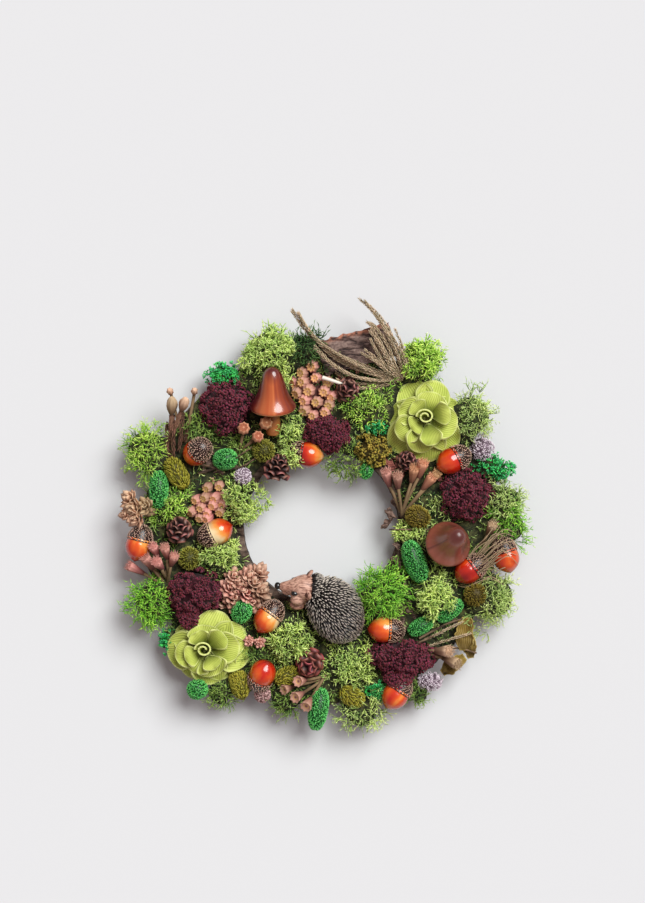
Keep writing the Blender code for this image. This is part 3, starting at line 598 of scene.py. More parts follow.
# Tufts as (x, y, half-width, half-depth, height, finish, habit), in mm; one marked over may lie on
# what stands there
tufts = [
    (-37, 130, 22, 21, 23, "pale", "net"), (-11, 134, 12, 13, 16, "dark", "hair"),
    (-73, 113, 13, 10, 14, "emerald", "curl"), (-22, 68, 13, 20, 18, "pale", "net"),
    (-89, 75, 12, 12, 13, "fine", "hair"), (-131, 57, 14, 23, 18, "lime", "loose"),
    (-113, 16, 16, 15, 16, "lime", "net"), (-60, 19, 18, 19, 19, "pale", "net"),
    (-76, -22, 16, 17, 19, "pale", "net"), (-126, -57, 17, 18, 16, "bright", "hair"),
    (-116, -86, 7, 9, 10, "emerald", "curl"), (-75, -124, 13, 13, 10, "fine", "loose"),
    (-23, -84, 18, 21, 20, "pale", "net"), (-27, -131, 14, 11, 11, "fine", "loose"),
    (22, -103, 19, 20, 19, "pale", "net"), (30, -138, 18, 13, 11, "soft", "loose"),
    (44, -123, 10, 8, 14, "emerald", "curl"), (73, -126, 10, 9, 10, "fine", "loose"),
    (46, -51, 20, 21, 22, "bright", "hair"), (86, -51, 16, 20, 21, "pale", "net"),
    (128, -53, 18, 23, 16, "soft", "loose"),
    (141, 0, 12, 18, 15, "bright", "loose"), (139, 18, 14, 16, 17, "soft", "loose"),
    (129, 43, 15, 10, 15, "emerald", "curl"), (112, 83, 17, 20, 18, "soft", "loose"),
    (75, 124, 19, 19, 22, "lime", "net"), (39, 92, 22, 19, 19, "lime", "net"),
    (41, 75, 9, 7, 13, "emerald", "curl"), (22, 52, 20, 14, 11, "fine", "hair"),
    (68, -3, 13, 10, 13, "pale", "net"), (-5, 117, 9, 8, 14, "dark", "hair"),
    (-96, -34, 10, 9, 9, "fine", "hair"), (-50, -98, 9, 12, 9, "fine", "hair"),
    (92, 12, 14, 11, 10, "soft", "hair"), (118, -24, 9, 9, 9, "fine", "hair"),
    (30, 112, 14, 7, 9, "dark", "hair"), (-62, 60, 9, 8, 8, "fine", "hair"),
    (-21, 54, 9, 9, 22, "pale", "net", "over"),
]
# A clump takes clumpArea square mm. One in every wispEvery is a wisp, where it is low enough on the dome.
mossLook = dict(clumpArea=dict(net=15.5, hair=23.0, curl=9.0, loose=31.0), jitter=0.6,
                swell=dict(net=0.6, hair=0.55, curl=0.75, loose=0.7),
                wispEvery=dict(net=9, hair=6, loose=2), wispBelow=dict(net=0.3, hair=0.7, loose=0.7),
                wispSunk=0.75, sunk=0.72, clumpRun=6.0, crumbRun=3.2, least=0.4, freeRoom=9,
                overlap=2.2, reach=7.5, inStand=1.5)
fillerLook = dict(count=1050, size=0.8, least=0.32, edge=6, sunk=0.8,
                  colours=("dark", "fine", "fine", "soft"))
bedReach = dict(inner=64.0, outer=133.0, least=57.5, middle=100, tuftShare=0.8)
bedLook = dict(steps=60, rows=18, floor=14.3, roughness=1.1, low=3.0, swell=0.62, rimDrop=1.5)
keptClear = ((78, 83, 27), (-86, -91, 28))      # the roses lie over the moss
standing = treeOf([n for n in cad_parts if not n.startswith(("moss", "bark"))])


def stretchOf(place):
    angle = math.degrees(math.atan2(place.y - ringCentre.y, place.x - ringCentre.x))
    return ("east", "north", "west", "south")[int(((angle + 45) % 360) // 90)]


# How large a clump may be before its strands lie over what stands beside it
def roomFor(place):
    near, normal, _, gap = standing.find_nearest(place)
    if (place - near).dot(normal) < 0:
        return 0
    for x, y, radius in keptClear:
        gap = min(gap, (place - spot(x, y)).xy.length - radius * mm)
    return (gap / mm + mossLook["overlap"]) / mossLook["reach"]


# A direction by its level, 1 at the top and -1 at the bottom, and its angle around
def ballWay(level, around):
    out = math.sqrt(max(1 - level * level, 0))
    return Vector((out * math.cos(around), out * math.sin(around), level))


# Clumps over one tuft's uneven dome, and a few wisps that stick out of it; none in what stands there
def tuftSpots(chance, x, y, wide, deep, tall, habit, over):
    spots = []
    area = fullTurn * ((wide * deep + wide * tall + deep * tall) / 3)
    count = int(area / mossLook["clumpArea"][habit])
    every = mossLook["wispEvery"].get(habit, 0)
    sunk = mossLook["sunk"] * (mossLook["crumbRun"] if habit == "curl" else mossLook["clumpRun"])
    for k in range(count):
        level = 1.0 - 1.02 * (k + 0.5) / count
        ball = ballWay(level, k * goldenTurn + chance.uniform(-0.3, 0.3))
        swell = 1 + mossLook["swell"][habit] * noise.noise(ball * 1.7 + Vector((x, y, 0)))
        skin = spot(x + wide * ball.x * swell, y + deep * ball.y * swell, bedTop + tall * ball.z * swell)
        way = Vector((ball.x / wide, ball.y / deep, ball.z / tall)).normalized()
        way = (way + randomWay(chance) * mossLook["jitter"]).normalized()
        wispy = every and k % every == every // 2 and level < mossLook["wispBelow"][habit]
        size = chance.uniform(0.8, 1.2)
        room = mossLook["freeRoom"] if over else roomFor(skin - way * 2.5 * mm)
        size = min(size, room * 1.6 if wispy else room)
        run = mossLook["wispSunk"] * mossHabits["wisp"]["run"] if wispy else sunk
        root = skin - way * run * size * mm
        if size < mossLook["least"] or not over and isInside(standing, root, mossLook["inStand"] * mm):
            continue
        kind = "wisp" if wispy else habit.replace("loose", "hair")
        spots.append((kind, *anyCopy(chance, chance.randrange(mossKinds), root, way, size)))
    return spots


def makeMossPieces(prefix, groups):
    for (colour, kind, stretch), spots in sorted(groups.items()):
        piece = copies(prefix + colour.title() + kind.title() + stretch.title(), mossForms[kind], spots)
        dress(piece, mossFinishes[colour], "moss", "moss_" + stretch)


def makeTufts():
    chance = random.Random(5)
    groups = {}
    for x, y, wide, deep, tall, colour, habit, *over in tufts:
        for kind, *entry in tuftSpots(chance, x, y, wide, deep, tall, habit, over):
            groups.setdefault((colour, kind, stretchOf(entry[1].translation)), []).append(tuple(entry))
    makeMossPieces("moss", groups)


# The bed's inner and outer radius at an angle: it reaches out under the tufts there
def bedEdges(angle):
    way = levelWay(angle).xy
    inner, outer = bedReach["inner"], bedReach["outer"]
    for x, y, wide, deep, *_ in tufts:
        middle = Vector((x, y))
        radius = (wide + deep) / 2 * bedReach["tuftShare"]
        ahead, off = middle.dot(way), middle.cross(way)
        if ahead > 0 and abs(off) < radius:
            half = math.sqrt(radius ** 2 - off ** 2)
            inner, outer = min(inner, ahead - half), max(outer, ahead + half)
    return max(inner, bedReach["least"]), outer


# The bed's height over its own level: it swells under each tuft and is lower along both rims. The
# share runs from the inner to the outer rim.
def bedRise(x, y, share):
    tallest = bedLook["low"]
    for tuftX, tuftY, wide, deep, tall, *_ in tufts:
        off = ((x - tuftX) / wide) ** 2 + ((y - tuftY) / deep) ** 2
        if off < 1:
            tallest = max(tallest, bedLook["swell"] * tall * math.sqrt(1 - off))
    rim = min(1.0, min(share, 1 - share) * 9)
    rough = bedLook["roughness"] * noise.noise(Vector((x, y, 0)) * 0.35)
    return rim * (tallest + rough) - bedLook["rimDrop"] * (1 - rim)


# Lower clumps on what is left bare between the tufts, and leaning out over both rims
def makeFiller():
    chance = random.Random(8)
    groups = {}
    for _ in range(fillerLook["count"]):
        angle = chance.uniform(0, fullTurn)
        inner, outer = bedEdges(angle)
        radius = math.sqrt(chance.uniform((inner + 2) ** 2, (outer - 1) ** 2))
        lean = 0.0
        if min(radius - inner, outer - radius) < fillerLook["edge"]:
            lean = 1.0 if radius > bedReach["middle"] else -1.0
        out = levelWay(angle)
        way = (skyward + out * lean + randomWay(chance) * 0.5).normalized()
        x, y = radius * out.x, radius * out.y
        root = spot(x, y, bedTop + bedRise(x, y, (radius - inner) / (outer - inner))
                    - fillerLook["sunk"])
        size = fillerLook["size"] * chance.uniform(0.7, 1.3)
        size = min(size, roomFor(root + way * 3 * size * mm) * 1.2)
        if size < fillerLook["least"]:
            continue
        key = chance.choice(fillerLook["colours"]), "low", stretchOf(root)
        entry = anyCopy(chance, chance.randrange(mossKinds), root, way, size)
        groups.setdefault(key, []).append(entry)
    makeMossPieces("filler", groups)


# A quarter of the bed under the moss, from a first angle
def makeBed(stretch, first, finish):
    bed = gridPiece("bed" + stretch.title(), bedLook["steps"], bedLook["rows"], 1)
    placed = []
    for across, out, _ in pointsOf(bed):
        angle = math.radians(first + 90 * (across + 0.5))
        inner, outer = bedEdges(angle)
        radius = inner + (outer - inner) * (out + 0.5)
        x, y = radius * math.cos(angle), radius * math.sin(angle)
        place = spot(x, y, bedTop + bedRise(x, y, out + 0.5))
        if isInside(standing, place, 0.4 * mm):
            place.z = spot(0, 0, bedTop).z
        placed.append(place)
    setPoints(bed, placed)
    startEdit()
    bpy.ops.mesh.extrude_region_move()
    endEdit()
    points = pointsOf(bed)
    moved = np.array([v.select for v in bed.data.vertices])
    points[moved, 2] = bedLook["floor"] * mm
    setPoints(bed, points)
    startEdit()
    bpy.ops.mesh.normals_make_consistent(inside=False)
    endEdit()
    bpy.ops.object.shade_smooth()
    dress(bed, finish, "moss", "moss_" + stretch)


# The bed's very dark colours are partly its own and partly a painted shade down between the tufts
def makeBedFinish():
    made, tree, shader = newFinish("mossBed", 0.95)
    colour = rampNode(tree, noiseNode(tree, 260.0, 5.0), (0.32, (20, 22, 12)), (0.5, (46, 50, 26)),
                      (0.68, (92, 92, 52)))
    paint(tree, shader, colour, noiseNode(tree, 900.0, 4.0), 0.8)
    return made


bedFinish = makeBedFinish()
for stretch, first in dict(east=-45, north=45, west=135, south=225).items():
    makeBed(stretch, first, bedFinish)
makeTufts()
makeFiller()
print("moss made")


# A node's box as a dome: its middle on the floor of the box, and its half sizes
def domeOf(node):
    low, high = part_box(node)
    middle = Vector(((low.x + high.x) / 2, (low.y + high.y) / 2, low.z))
    return middle, Vector(((high.x - low.x) / 2, (high.y - low.y) / 2, high.z - low.z))


# Directions spread evenly from the top down to a level
def spreadBalls(count, chance, lowest, wobble=0.15):
    for k in range(count):
        level = 1 - (1 - lowest) * (k + 0.5) / count
        yield ballWay(level, k * goldenTurn + chance.uniform(-wobble, wobble))


def scaled(ball, half):
    return Vector((ball.x * half.x, ball.y * half.y, ball.z * half.z))


def outwardOf(ball, half):
    return Vector((ball.x / half.x, ball.y / half.y, ball.z / half.z)).normalized()


# A small round form of few faces, one millimetre in radius: its top takes the tip colour, a painted
# highlight, and its bottom the root colour, a painted shade; the waist is its colour's place in between
def beadForm(waist):
    bead = turned("bead", ((0, -0.8), (0.95, 0), (0, 1)), 5)
    rise = pointsOf(bead)[:, 2] / mm
    return takeForm(bead, along=np.where(rise > 0.5, 1, np.where(rise < -0.5, 0, waist)))


# The solid heart under florets or scales; its low along paints it in the finish's dark root colour,
# a painted shade in the gaps between them
def makeCore(name, middle, half, turn=Matrix.Identity(4), floor=None, along=0.12):
    clearSelection()
    bpy.ops.mesh.primitive_ico_sphere_add(subdivisions=3, radius=1)
    core = namedPiece(name)
    core.data.transform(Matrix.Translation(middle) @ turn @ Matrix.Diagonal((*half, 1)))
    if floor is not None:
        points = pointsOf(core)
        points[:, 2] = np.maximum(points[:, 2], floor)
        setPoints(core, points)
    mark(core, "along", along)
    mark(core, "tint", 0.5)
    bpy.ops.object.shade_smooth()
    return core


# A core covered with copies of one form, as one piece
def covered(name, core, form, spots):
    return joined(name, [core, copies(name, [form], spots)])


def pieceName(node):
    first, *rest = node.split("_")
    return first + "".join(part.title() for part in rest)


# Velvet and crumb heads: clumps over a dome, each of them a ball of crumbs
velvetFinish = growthFinish("burgundyVelvet", (46, 15, 22), (90, 28, 42), (118, 38, 54), roughness=0.95,
                            variation=0.5, Sheen_Weight=0.15, Specular_IOR_Level=0.2)
yarrowFinish = growthFinish("oliveYarrow", (36, 28, 8), (122, 104, 30), (168, 150, 56), roughness=0.85)
lilacFinish = growthFinish("lilacFloret", (84, 64, 78), (186, 164, 178), (238, 226, 232), roughness=0.85,
                           variation=0.3)
headLooks = {
    "burgundy_head_1": dict(clumps=40, clump=4.4, crumbs=30, crumb=1.0),
    "burgundy_head_2": dict(clumps=44, clump=3.6, crumbs=26, crumb=0.95),
    "burgundy_head_3": dict(clumps=48, clump=3.4, crumbs=26, crumb=0.9),
    "burgundy_head_4": dict(clumps=60, clump=3.0, crumbs=22, crumb=0.9),
    "burgundy_head_5": dict(clumps=46, clump=4.0, crumbs=28, crumb=0.95),
    "olive_head": dict(clumps=26, clump=2.7, crumbs=16, crumb=1.05),
    "globe_flower_1": dict(clumps=60, clump=1.3, crumbs=7, crumb=0.62),
    "globe_flower_2": dict(clumps=60, clump=1.3, crumbs=7, crumb=0.62),
}
# Lobes of a burgundy head that lie beside it: place, half sizes and seed
burgundyLobes = {
    "burgundyLobe": ((58, -114, 29), (10, 9, 9), 11, dict(clumps=22, clump=3.6, crumbs=26, crumb=0.95)),
    "burgundyLobe2": ((-99, -67, 26), (8.5, 8.5, 9), 12, dict(clumps=20, clump=3.6, crumbs=26, crumb=0.95)),
}
headKinds = {"burgundy": (velvetFinish, "burgundy_florets"), "olive": (yarrowFinish, "olive_florets"),
             "globe": (lilacFinish, "globe_florets")}
crumbForm = beadForm(0.5)


def makeHead(name, kind, middle, half, seed, look, *nodes):
    chance = random.Random(seed)
    spots = []
    for ball in spreadBalls(look["clumps"], chance, 0.0):
        way = outwardOf(ball, half)
        size = look["clump"] * mm * chance.uniform(0.8, 1.2)
        swell = 1 + 0.22 * noise.noise(ball * 1.9 + Vector((seed * 5.0, 0, 0)))
        heart = middle + scaled(ball, half) * swell - way * size * chance.uniform(0.4, 1.1)
        turn = way.to_track_quat("Z", "Y")
        for grain in spreadBalls(look["crumbs"], chance, -0.1, 0.6):
            out = turn @ grain
            place = heart + out * size * chance.uniform(0.88, 1.1)
            if place.z > middle.z:
                # Crumbs that face out of their clump are lighter and those facing in darker: painted light
                # and shade
                spots.append((0, stood(place, out, look["crumb"] * chance.uniform(0.75, 1.3)),
                              chance.random(), 0.42 + 0.58 * max(grain.z, 0)))
    core = makeCore(name, middle, half * 0.8, floor=middle.z)
    dress(covered(name, core, crumbForm, spots), *headKinds[kind], *nodes)


for seed, (node, look) in enumerate(headLooks.items()):
    makeHead(pieceName(node), node.split("_")[0], *domeOf(node), seed, look, node)
for name, (place, half, seed, look) in burgundyLobes.items():
    makeHead(name, "burgundy", spot(*place), Vector(half) * mm, seed, look)
print("flower heads made")


# Seed heads of dyed canary grass: an oval core with overlapping glumes, all pointing to its tip
canaryFinishes = {
    "emerald": growthFinish("emeraldGlume", (2, 48, 12), (16, 134, 40), (136, 240, 132), roughness=0.4,
                            variation=0.7),
    "olive": growthFinish("oliveGlume", (54, 50, 6), (146, 140, 26), (214, 204, 84), roughness=0.7),
    "burr": growthFinish("burrGlume", (40, 40, 8), (128, 126, 28), (206, 202, 96), roughness=0.7),
    "tawny": growthFinish("tawnyGlume", (50, 40, 6), (126, 108, 26), (186, 166, 70), roughness=0.7),
}
# Half length, radius, heading and rise
canaryHeads = {
    "emerald_head_1": (14.5, 7.2, 90, 0), "emerald_head_2": (9.5, 7.8, 10, 25),
    "emerald_head_3": (17, 8.2, 110, 5), "emerald_head_4": (10.5, 6, 30, 0),
    "emerald_head_5": (12, 6.2, 38, 0), "emerald_head_6": (9, 7.4, 60, 20),
    "emerald_head_7": (16.5, 7.2, 80, 0), "emerald_head_8": (8, 7.4, 20, 10),
    "olive_canary_1": (13, 7.2, 120, 0), "olive_canary_2": (7.8, 7.4, 90, 60),
    "olive_canary_3": (7.6, 7.4, 90, 60), "olive_canary_4": (8.6, 7.8, 90, 70),
    "olive_canary_5": (9.2, 7.6, 150, 20), "olive_canary_6": (11, 6.6, 100, 0),
    "olive_canary_7": (10, 7, 330, 0),
}
kindsOf = {"olive_canary_2": "burr", "olive_canary_3": "burr", "olive_canary_4": "tawny",
           "olive_canary_5": "tawny"}
glumeLooks = {
    "emerald": dict(wide=0.52, deep=0.52, long=0.98, perArea=1.12, lean=3.0, jitter=0.9),
    "olive": dict(wide=0.66, deep=0.42, long=2.1, perArea=0.62, lean=0.85, jitter=0.25),
    "tawny": dict(wide=0.5, deep=0.42, long=2.0, perArea=0.8, lean=1.6, jitter=0.3),
    "burr": dict(wide=0.5, deep=0.42, long=2.2, perArea=0.7, lean=2.2, jitter=0.35),
}


# A glume with a bent back, long is half its length; a short one is a plain bead. Each is lighter at its
# tip, a painted highlight.
def makeGlume(wide, deep, long, **_):
    outline = [(0, -long), (1, -0.35 * long), (0.62, 0.4 * long), (0, long)]
    isShort = long < 1
    if isShort:
        del outline[2]
    glume = turned("glume", outline, 4)
    points = pointsOf(glume) * np.array((wide, deep, 1))
    points[:, 1] -= 0.1 * points[:, 2] ** 2 / (long * mm)
    setPoints(glume, points)
    along = 0.5 + 0.5 * points[:, 2] / (long * mm)
    return takeForm(glume, along=np.where(along > 0.95, 1, along * (1.3 if isShort else 0.75)))


glumeForms = {kind: makeGlume(**look) for kind, look in glumeLooks.items()}


# Glumes over an oval with its middle at a place: their broad side lies on it
def ovalSpots(chance, middle, turn, half, radius, perArea, lean, jitter, **_):
    count = int(4 * math.pi * radius * (radius + 2 * half) / 3 * perArea)
    spots = []
    for k in range(count):
        share = 0.98 * max(-1, min(1, 2 * (k + 0.5 + chance.gauss(0, 9)) / count - 1))
        rim = (1 - abs(share) ** 2.4) ** 0.5
        side = levelWay(k * goldenTurn + chance.uniform(-0.3, 0.3))
        out = (side * rim / radius + Vector((0, 0, share / half))).normalized()
        way = skyward * (1 - 0.5 * max(share, 0)) + out * lean + randomWay(chance) * jitter
        way.normalize()
        across = way.cross(out).normalized()
        local = Matrix((across, across.cross(way), way)).transposed().to_4x4()
        place = (side * rim * radius + Vector((0, 0, share * half))) * mm + out * 0.25 * mm
        matrix = Matrix.Translation(middle) @ turn @ Matrix.Translation(place) @ local
        spots.append((0, matrix @ Matrix.Scale(chance.uniform(0.75, 1.2), 4), chance.random()))
    return spots


def makeOval(name, kind, middle, half, radius, heading, rise, seed, *nodes):
    turn = aimed(heading, rise)
    core = makeCore(name, middle, Vector((radius, radius, half)) * 0.96 * mm, turn, along=0.1)
    spots = ovalSpots(random.Random(seed), middle, turn, half, radius, **glumeLooks[kind])
    slotName = "emerald_florets" if kind == "emerald" else "olive_florets"
    dress(covered(name, core, glumeForms[kind], spots), canaryFinishes[kind], slotName, *nodes)


for seed, (node, (half, radius, heading, rise)) in enumerate(canaryHeads.items(), 40):
    low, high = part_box(node)
    kind = kindsOf.get(node, node.split("_")[0])
    makeOval(pieceName(node), kind, (low + high) / 2, half - 0.6, radius - 0.5, heading, rise, seed, node)
print("seed heads made")


# Acorns: a lacquered nut in a cup of copper beads. The beads stand on an oval of the cup's own size.
acornOutline = dict(
    cup=((0, -12.2), (4.4, -11.2), (7.6, -7.8), (9.1, -2.8), (9.5, 0.0), (8.8, 0.5), (0, 0.2)),
    nut=((0, -3), (8.6, -2), (9.4, 0.8), (9.9, 4.4), (9.2, 8.4), (7.0, 12.0), (3.6, 14.6), (1.3, 15.8),
         (0, 16.4)))
acornLook = dict(tall=16.4, lit=9, streak=0.22, beads=280, beadWide=9.7, beadDeep=12.4)
# Heading and rise of each nut, then the side its painted glow comes from and that glow's least and most
acorns = {1: (215, -50, 170, 0.3, 0.6), 2: (206, 8, 190, 0.36, 0.58), 3: (256, 0, 40, 0.25, 0.8),
          4: (25, 6, 215, 0.2, 1.1), 5: (65, 30, 235, 0.15, 0.56), 6: (234, 6, 15, 0.1, 0.95),
          7: (177, 4, 50, 0.3, 0.72), 8: (216, 0, 60, 0.15, 0.36), 9: (236, 0, 0, 0.4, 0.55),
          10: (-8, 4, 15, 0.1, 0.95), 11: (286, 0, 0, 0.4, 0.62)}


# Lacquer: deep red runs through orange into pale yellow along a painted glow with real streaks in it,
# its pale end a painted highlight; the edges are darker, a painted shade, and the point is dark
def makeLacquerFinish():
    made, tree, shader = newFinish("acornLacquer", 0.2, Coat_Weight=0.5, Coat_Roughness=0.07,
                                   Specular_IOR_Level=0.5)
    cloud = mathNode(tree, "MULTIPLY_ADD", noiseNode(tree, 150.0, 3.0), 0.3, -0.15)
    glow = mathNode(tree, "ADD", attributeNode(tree, "glow"), cloud)
    colour = rampNode(tree, glow, (0.05, (140, 14, 8)), (0.32, (196, 36, 14)), (0.56, (226, 88, 26)),
                      (0.78, (244, 160, 72)), (0.98, (254, 228, 176)))
    # Darker where the surface turns away from view: a painted shade
    edge = mathNode(tree, "POWER", facingNode(tree, 0.5), 1.5)
    colour = mixNode(tree, mathNode(tree, "MULTIPLY", edge, 0.95, clamp=True), colour, (128, 16, 8))
    tip = mathNode(tree, "MULTIPLY_ADD", attributeNode(tree, "along"), 9.0, -8.1, clamp=True)
    paint(tree, shader, mixNode(tree, tip, colour, (96, 28, 14)))
    return made


lacquerFinish = makeLacquerFinish()
# The beads' pale tips are a painted highlight and their dark feet a painted shade
cupFinish = growthFinish("acornCup", (40, 20, 15), (128, 78, 58), (250, 214, 188), roughness=0.32)
cupBead = beadForm(0.6)


def makeNut(name, index, turn, side, least, most):
    nut = turned(name, acornOutline["nut"], 36, 3)
    points = pointsOf(nut)
    along = points[:, 2] / (acornLook["tall"] * mm)
    streaks = np.array([
        noise.noise(Vector((x, y, 0)).normalized() * 2.4 + Vector((0, 0, a * 0.9 + index * 9)))
        for (x, y, _), a in zip(points, along)])
    mark(nut, "along", along)
    nut.data.transform(turn)
    points = pointsOf(nut)
    # A painted glow: each nut is lighter towards one side, as if lit from there
    glowWay = np.array((math.cos(math.radians(side)), math.sin(math.radians(side)), 0.0))
    lit = (points - points.mean(0)) @ glowWay / (acornLook["lit"] * mm)
    glow = least + (most - least) * np.clip(0.5 + 0.5 * lit, 0, 1)
    mark(nut, "glow", glow + acornLook["streak"] * streaks)
    return nut


def makeCup(name, turn, chance):
    cup = turned(name, acornOutline["cup"], 24, 2)
    cup.data.transform(turn)
    # The cup under the beads takes the dark root colour: a painted shade between them
    mark(cup, "along", 0.0)
    mark(cup, "tint", 0.5)
    wide, deep = acornLook["beadWide"], acornLook["beadDeep"]
    spots = []
    for ball in spreadBalls(acornLook["beads"], chance, 0.0, 0.12):
        base = Vector((wide * ball.x, wide * ball.y, -deep * ball.z + 0.2)) * mm
        out = turn.to_3x3() @ Vector((ball.x / 9.9, ball.y / 9.9, -ball.z / 12.6)).normalized()
        spots.append((0, stood(turn @ base, out, chance.uniform(0.5, 0.62)), chance.random()))
    return covered(name, cup, cupBead, spots)


for index, (heading, rise, *glow) in acorns.items():
    chance = random.Random(index)
    turn = aimed(heading, rise, chance.uniform(0, 360))
    nut = makeNut(f"acorn{index}", index, turn, *glow)
    cup = makeCup(f"acorn{index}Cup", turn, chance)
    alignTo(f"acorn_{index}", nut, cup)
    dress(nut, lacquerFinish, "acorn_lacquer", f"acorn_{index}")
    dress(cup, cupFinish, "cone_scale", f"acorn_{index}")
print("acorns made")


# Larch cones: spoon-shaped scales in a spiral, their lips turned out
# Each scale's dark foot is a painted shade under the scale above and its light lip a painted highlight
coneFinish = growthFinish("coneScale", (14, 7, 6), (70, 38, 34), (168, 110, 96), roughness=0.5)
redConeFinish = growthFinish("redConeScale", (22, 8, 8), (92, 38, 35), (172, 90, 82), roughness=0.5)
# Radius, heading, rise and finish
larchCones = {1: (9.5, 70, 35, coneFinish), 2: (9.6, 90, 80, coneFinish), 3: (8.0, 60, 75, coneFinish),
              4: (9.5, 90, 55, coneFinish), 5: (10.5, 240, 75, redConeFinish)}
coneScales = 28


def makeScale():
    scale = gridPiece("scale", 5, 5)
    points = pointsOf(scale)
    across, along = points[:, 0], (points[:, 1] + 1) / 2
    half = 0.40 * (0.4 + 0.75 * np.sin(np.pi * (0.1 + 0.66 * along)))
    lift = 0.5 * across ** 2 * half * along + 0.5 * np.maximum(along - 0.5, 0) ** 1.4
    setPoints(scale, np.stack([across * half, along * (1 - 0.16 * across ** 2), lift], 1) * mm)
    thickened(scale, 0.06)
    points = pointsOf(scale)
    # Dark at its foot and light at its lip: painted shade and painted highlight
    return takeForm(scale, along=np.clip(points[:, 1] / (0.97 * mm), 0, 1) ** 4)


scaleForm = makeScale()


# Scales along +Z, from the widest ring at the foot to the closed tip, for a cone of radius 1 mm
def coneSpots(chance):
    spots = []
    for k in range(coneScales):
        share = (k + 0.5) / coneScales
        ring = math.cos(0.44 * math.pi * share ** 1.15)
        side = levelWay(k * goldenTurn)
        rise = math.radians(6 + 68 * share ** 1.4)
        way = side * math.cos(rise) + skyward * math.sin(rise)
        across = skyward.cross(side)
        local = Matrix((across * -1, way, way.cross(across) * -1)).transposed().to_4x4()
        foot = side * (ring * 0.98 - 0.85 * math.cos(rise)) + Vector((0, 0, 0.25 + 1.2 * share))
        size = (1.0 - 0.3 * share) * chance.uniform(0.94, 1.06)
        spots.append((0, Matrix.Translation(foot * mm) @ local @ Matrix.Scale(size, 4), chance.random()))
    return spots


for index, (radius, heading, rise, finish) in larchCones.items():
    name = f"larchCone{index}"
    core = makeCore(name, Vector((0, 0, 0.8)) * mm, Vector((0.42, 0.42, 0.8)) * mm, along=0.05)
    cone = covered(name, core, scaleForm, coneSpots(random.Random(index + 70)))
    cone.data.transform(aimed(heading, rise) @ Matrix.Scale(radius, 4))
    alignTo(f"larch_cone_{index}", cone)
    dress(cone, finish, "cone_scale", f"larch_cone_{index}")
print("cones made")


# Lacquered wooden mushrooms: heading, rise, stem and the local angle of the glue seam
capOutline = ((0, 33), (2.2, 32.6), (4.9, 30.8), (7.2, 27.0), (8.9, 21.6), (10.4, 16.0), (12.2, 10.8),
              (14.4, 6.6), (16.4, 3.6), (17.3, 1.6), (17.0, 0.2), (15.4, 0.1), (15.0, 1.0), (8, 1.2),
              (0, 1.6))
mushrooms = {1: (91, 24, 21, 6), 2: (47, 70, 16, 150)}
capTall, seamTop, seamWide = 33, 26, 2.4        # mm, mm and degrees
lipColour = (196, 134, 86)


def makeMushroomFinish(name, low, middle, high, edgeColour, edgeShare, roughness, coat):
    made, tree, shader = newFinish(name, roughness, Coat_Weight=coat, Coat_Roughness=0.1)
    along = attributeNode(tree, "along")
    colour = rampNode(tree, attributeNode(tree, "glow"), (0.25, low), (0.5, middle), (0.8, high))
    seam = mathNode(tree, "MULTIPLY", attributeNode(tree, "rim"), 0.75)
    # Darker towards the outline, a painted shade where the cap turns away from view, and darker towards its
    # top; the glue seam is a darker line of its own
    edge = mathNode(tree, "MULTIPLY", facingNode(tree, 0.6), edgeShare, clamp=True)
    tip = mathNode(tree, "MULTIPLY_ADD", along, 3.0, -1.9, clamp=True)
    for share in (seam, mathNode(tree, "MAXIMUM", edge, tip)):
        colour = mixNode(tree, share, colour, edgeColour)
    paint(tree, shader, mixNode(tree, mathNode(tree, "LESS_THAN", along, 0.028), colour, lipColour))
    return made


def makeStalkFinish():
    made, tree, shader = newFinish("stalkWood", 0.4)
    grain = noiseNode(tree, 160.0, 3.0, (1, 1, 0.15))
    paint(tree, shader, rampNode(tree, grain, (0.3, (150, 84, 40)), (0.7, (196, 124, 70))))
    return made


mushroomFinishes = {
    1: makeMushroomFinish("mushroomLacquer", (150, 58, 28), (184, 84, 40), (206, 112, 60), (84, 20, 18),
                          1.7, 0.3, 0.6),
    2: makeMushroomFinish("mauveLacquer", (162, 88, 68), (172, 96, 76), (182, 106, 86), (88, 38, 32),
                          0.8, 0.38, 0.3),
}
stalkFinish = makeStalkFinish()


def makeMushroom(name, heading, rise, stem, seam, node, finish):
    stemOutline = ((0, 2.5), (5.4, 2.5), (5.2, -0.35 * stem), (5.4, -0.75 * stem), (5.7, -0.92 * stem),
                   (4.8, -stem), (0, -stem))
    cap = turned(name + "Cap", capOutline, 80, 3)
    points = pointsOf(cap)
    height = points[:, 2]
    angle = np.degrees(np.arctan2(points[:, 1], points[:, 0])) - seam
    grain = np.array([noise.noise(Vector((x, y, 0)).normalized() * 5 + Vector((0, 0, z * 18 + seam)))
                      for x, y, z in points])
    offSeam = np.abs((angle + 180) % 360 - 180)
    mark(cap, "along", height / (capTall * mm))
    mark(cap, "glow", 0.5 + 0.42 * grain + 0.12 * np.where(angle % 360 < 180, 1, -1))
    mark(cap, "rim", np.clip(1.6 - offSeam / seamWide, 0, 1) * (height < seamTop * mm))
    stalk = turned(name + "Stalk", stemOutline, 40, 3)
    for piece in (cap, stalk):
        piece.data.transform(aimed(heading, rise))
    alignTo(node, cap, stalk)
    dress(cap, finish, "mushroom_lacquer", node)
    dress(stalk, stalkFinish, "mushroom_lacquer", node)


for index, look in mushrooms.items():
    makeMushroom(f"mushroom{index}", *look, f"mushroom_{index}", mushroomFinishes[index])
print("mushrooms made")


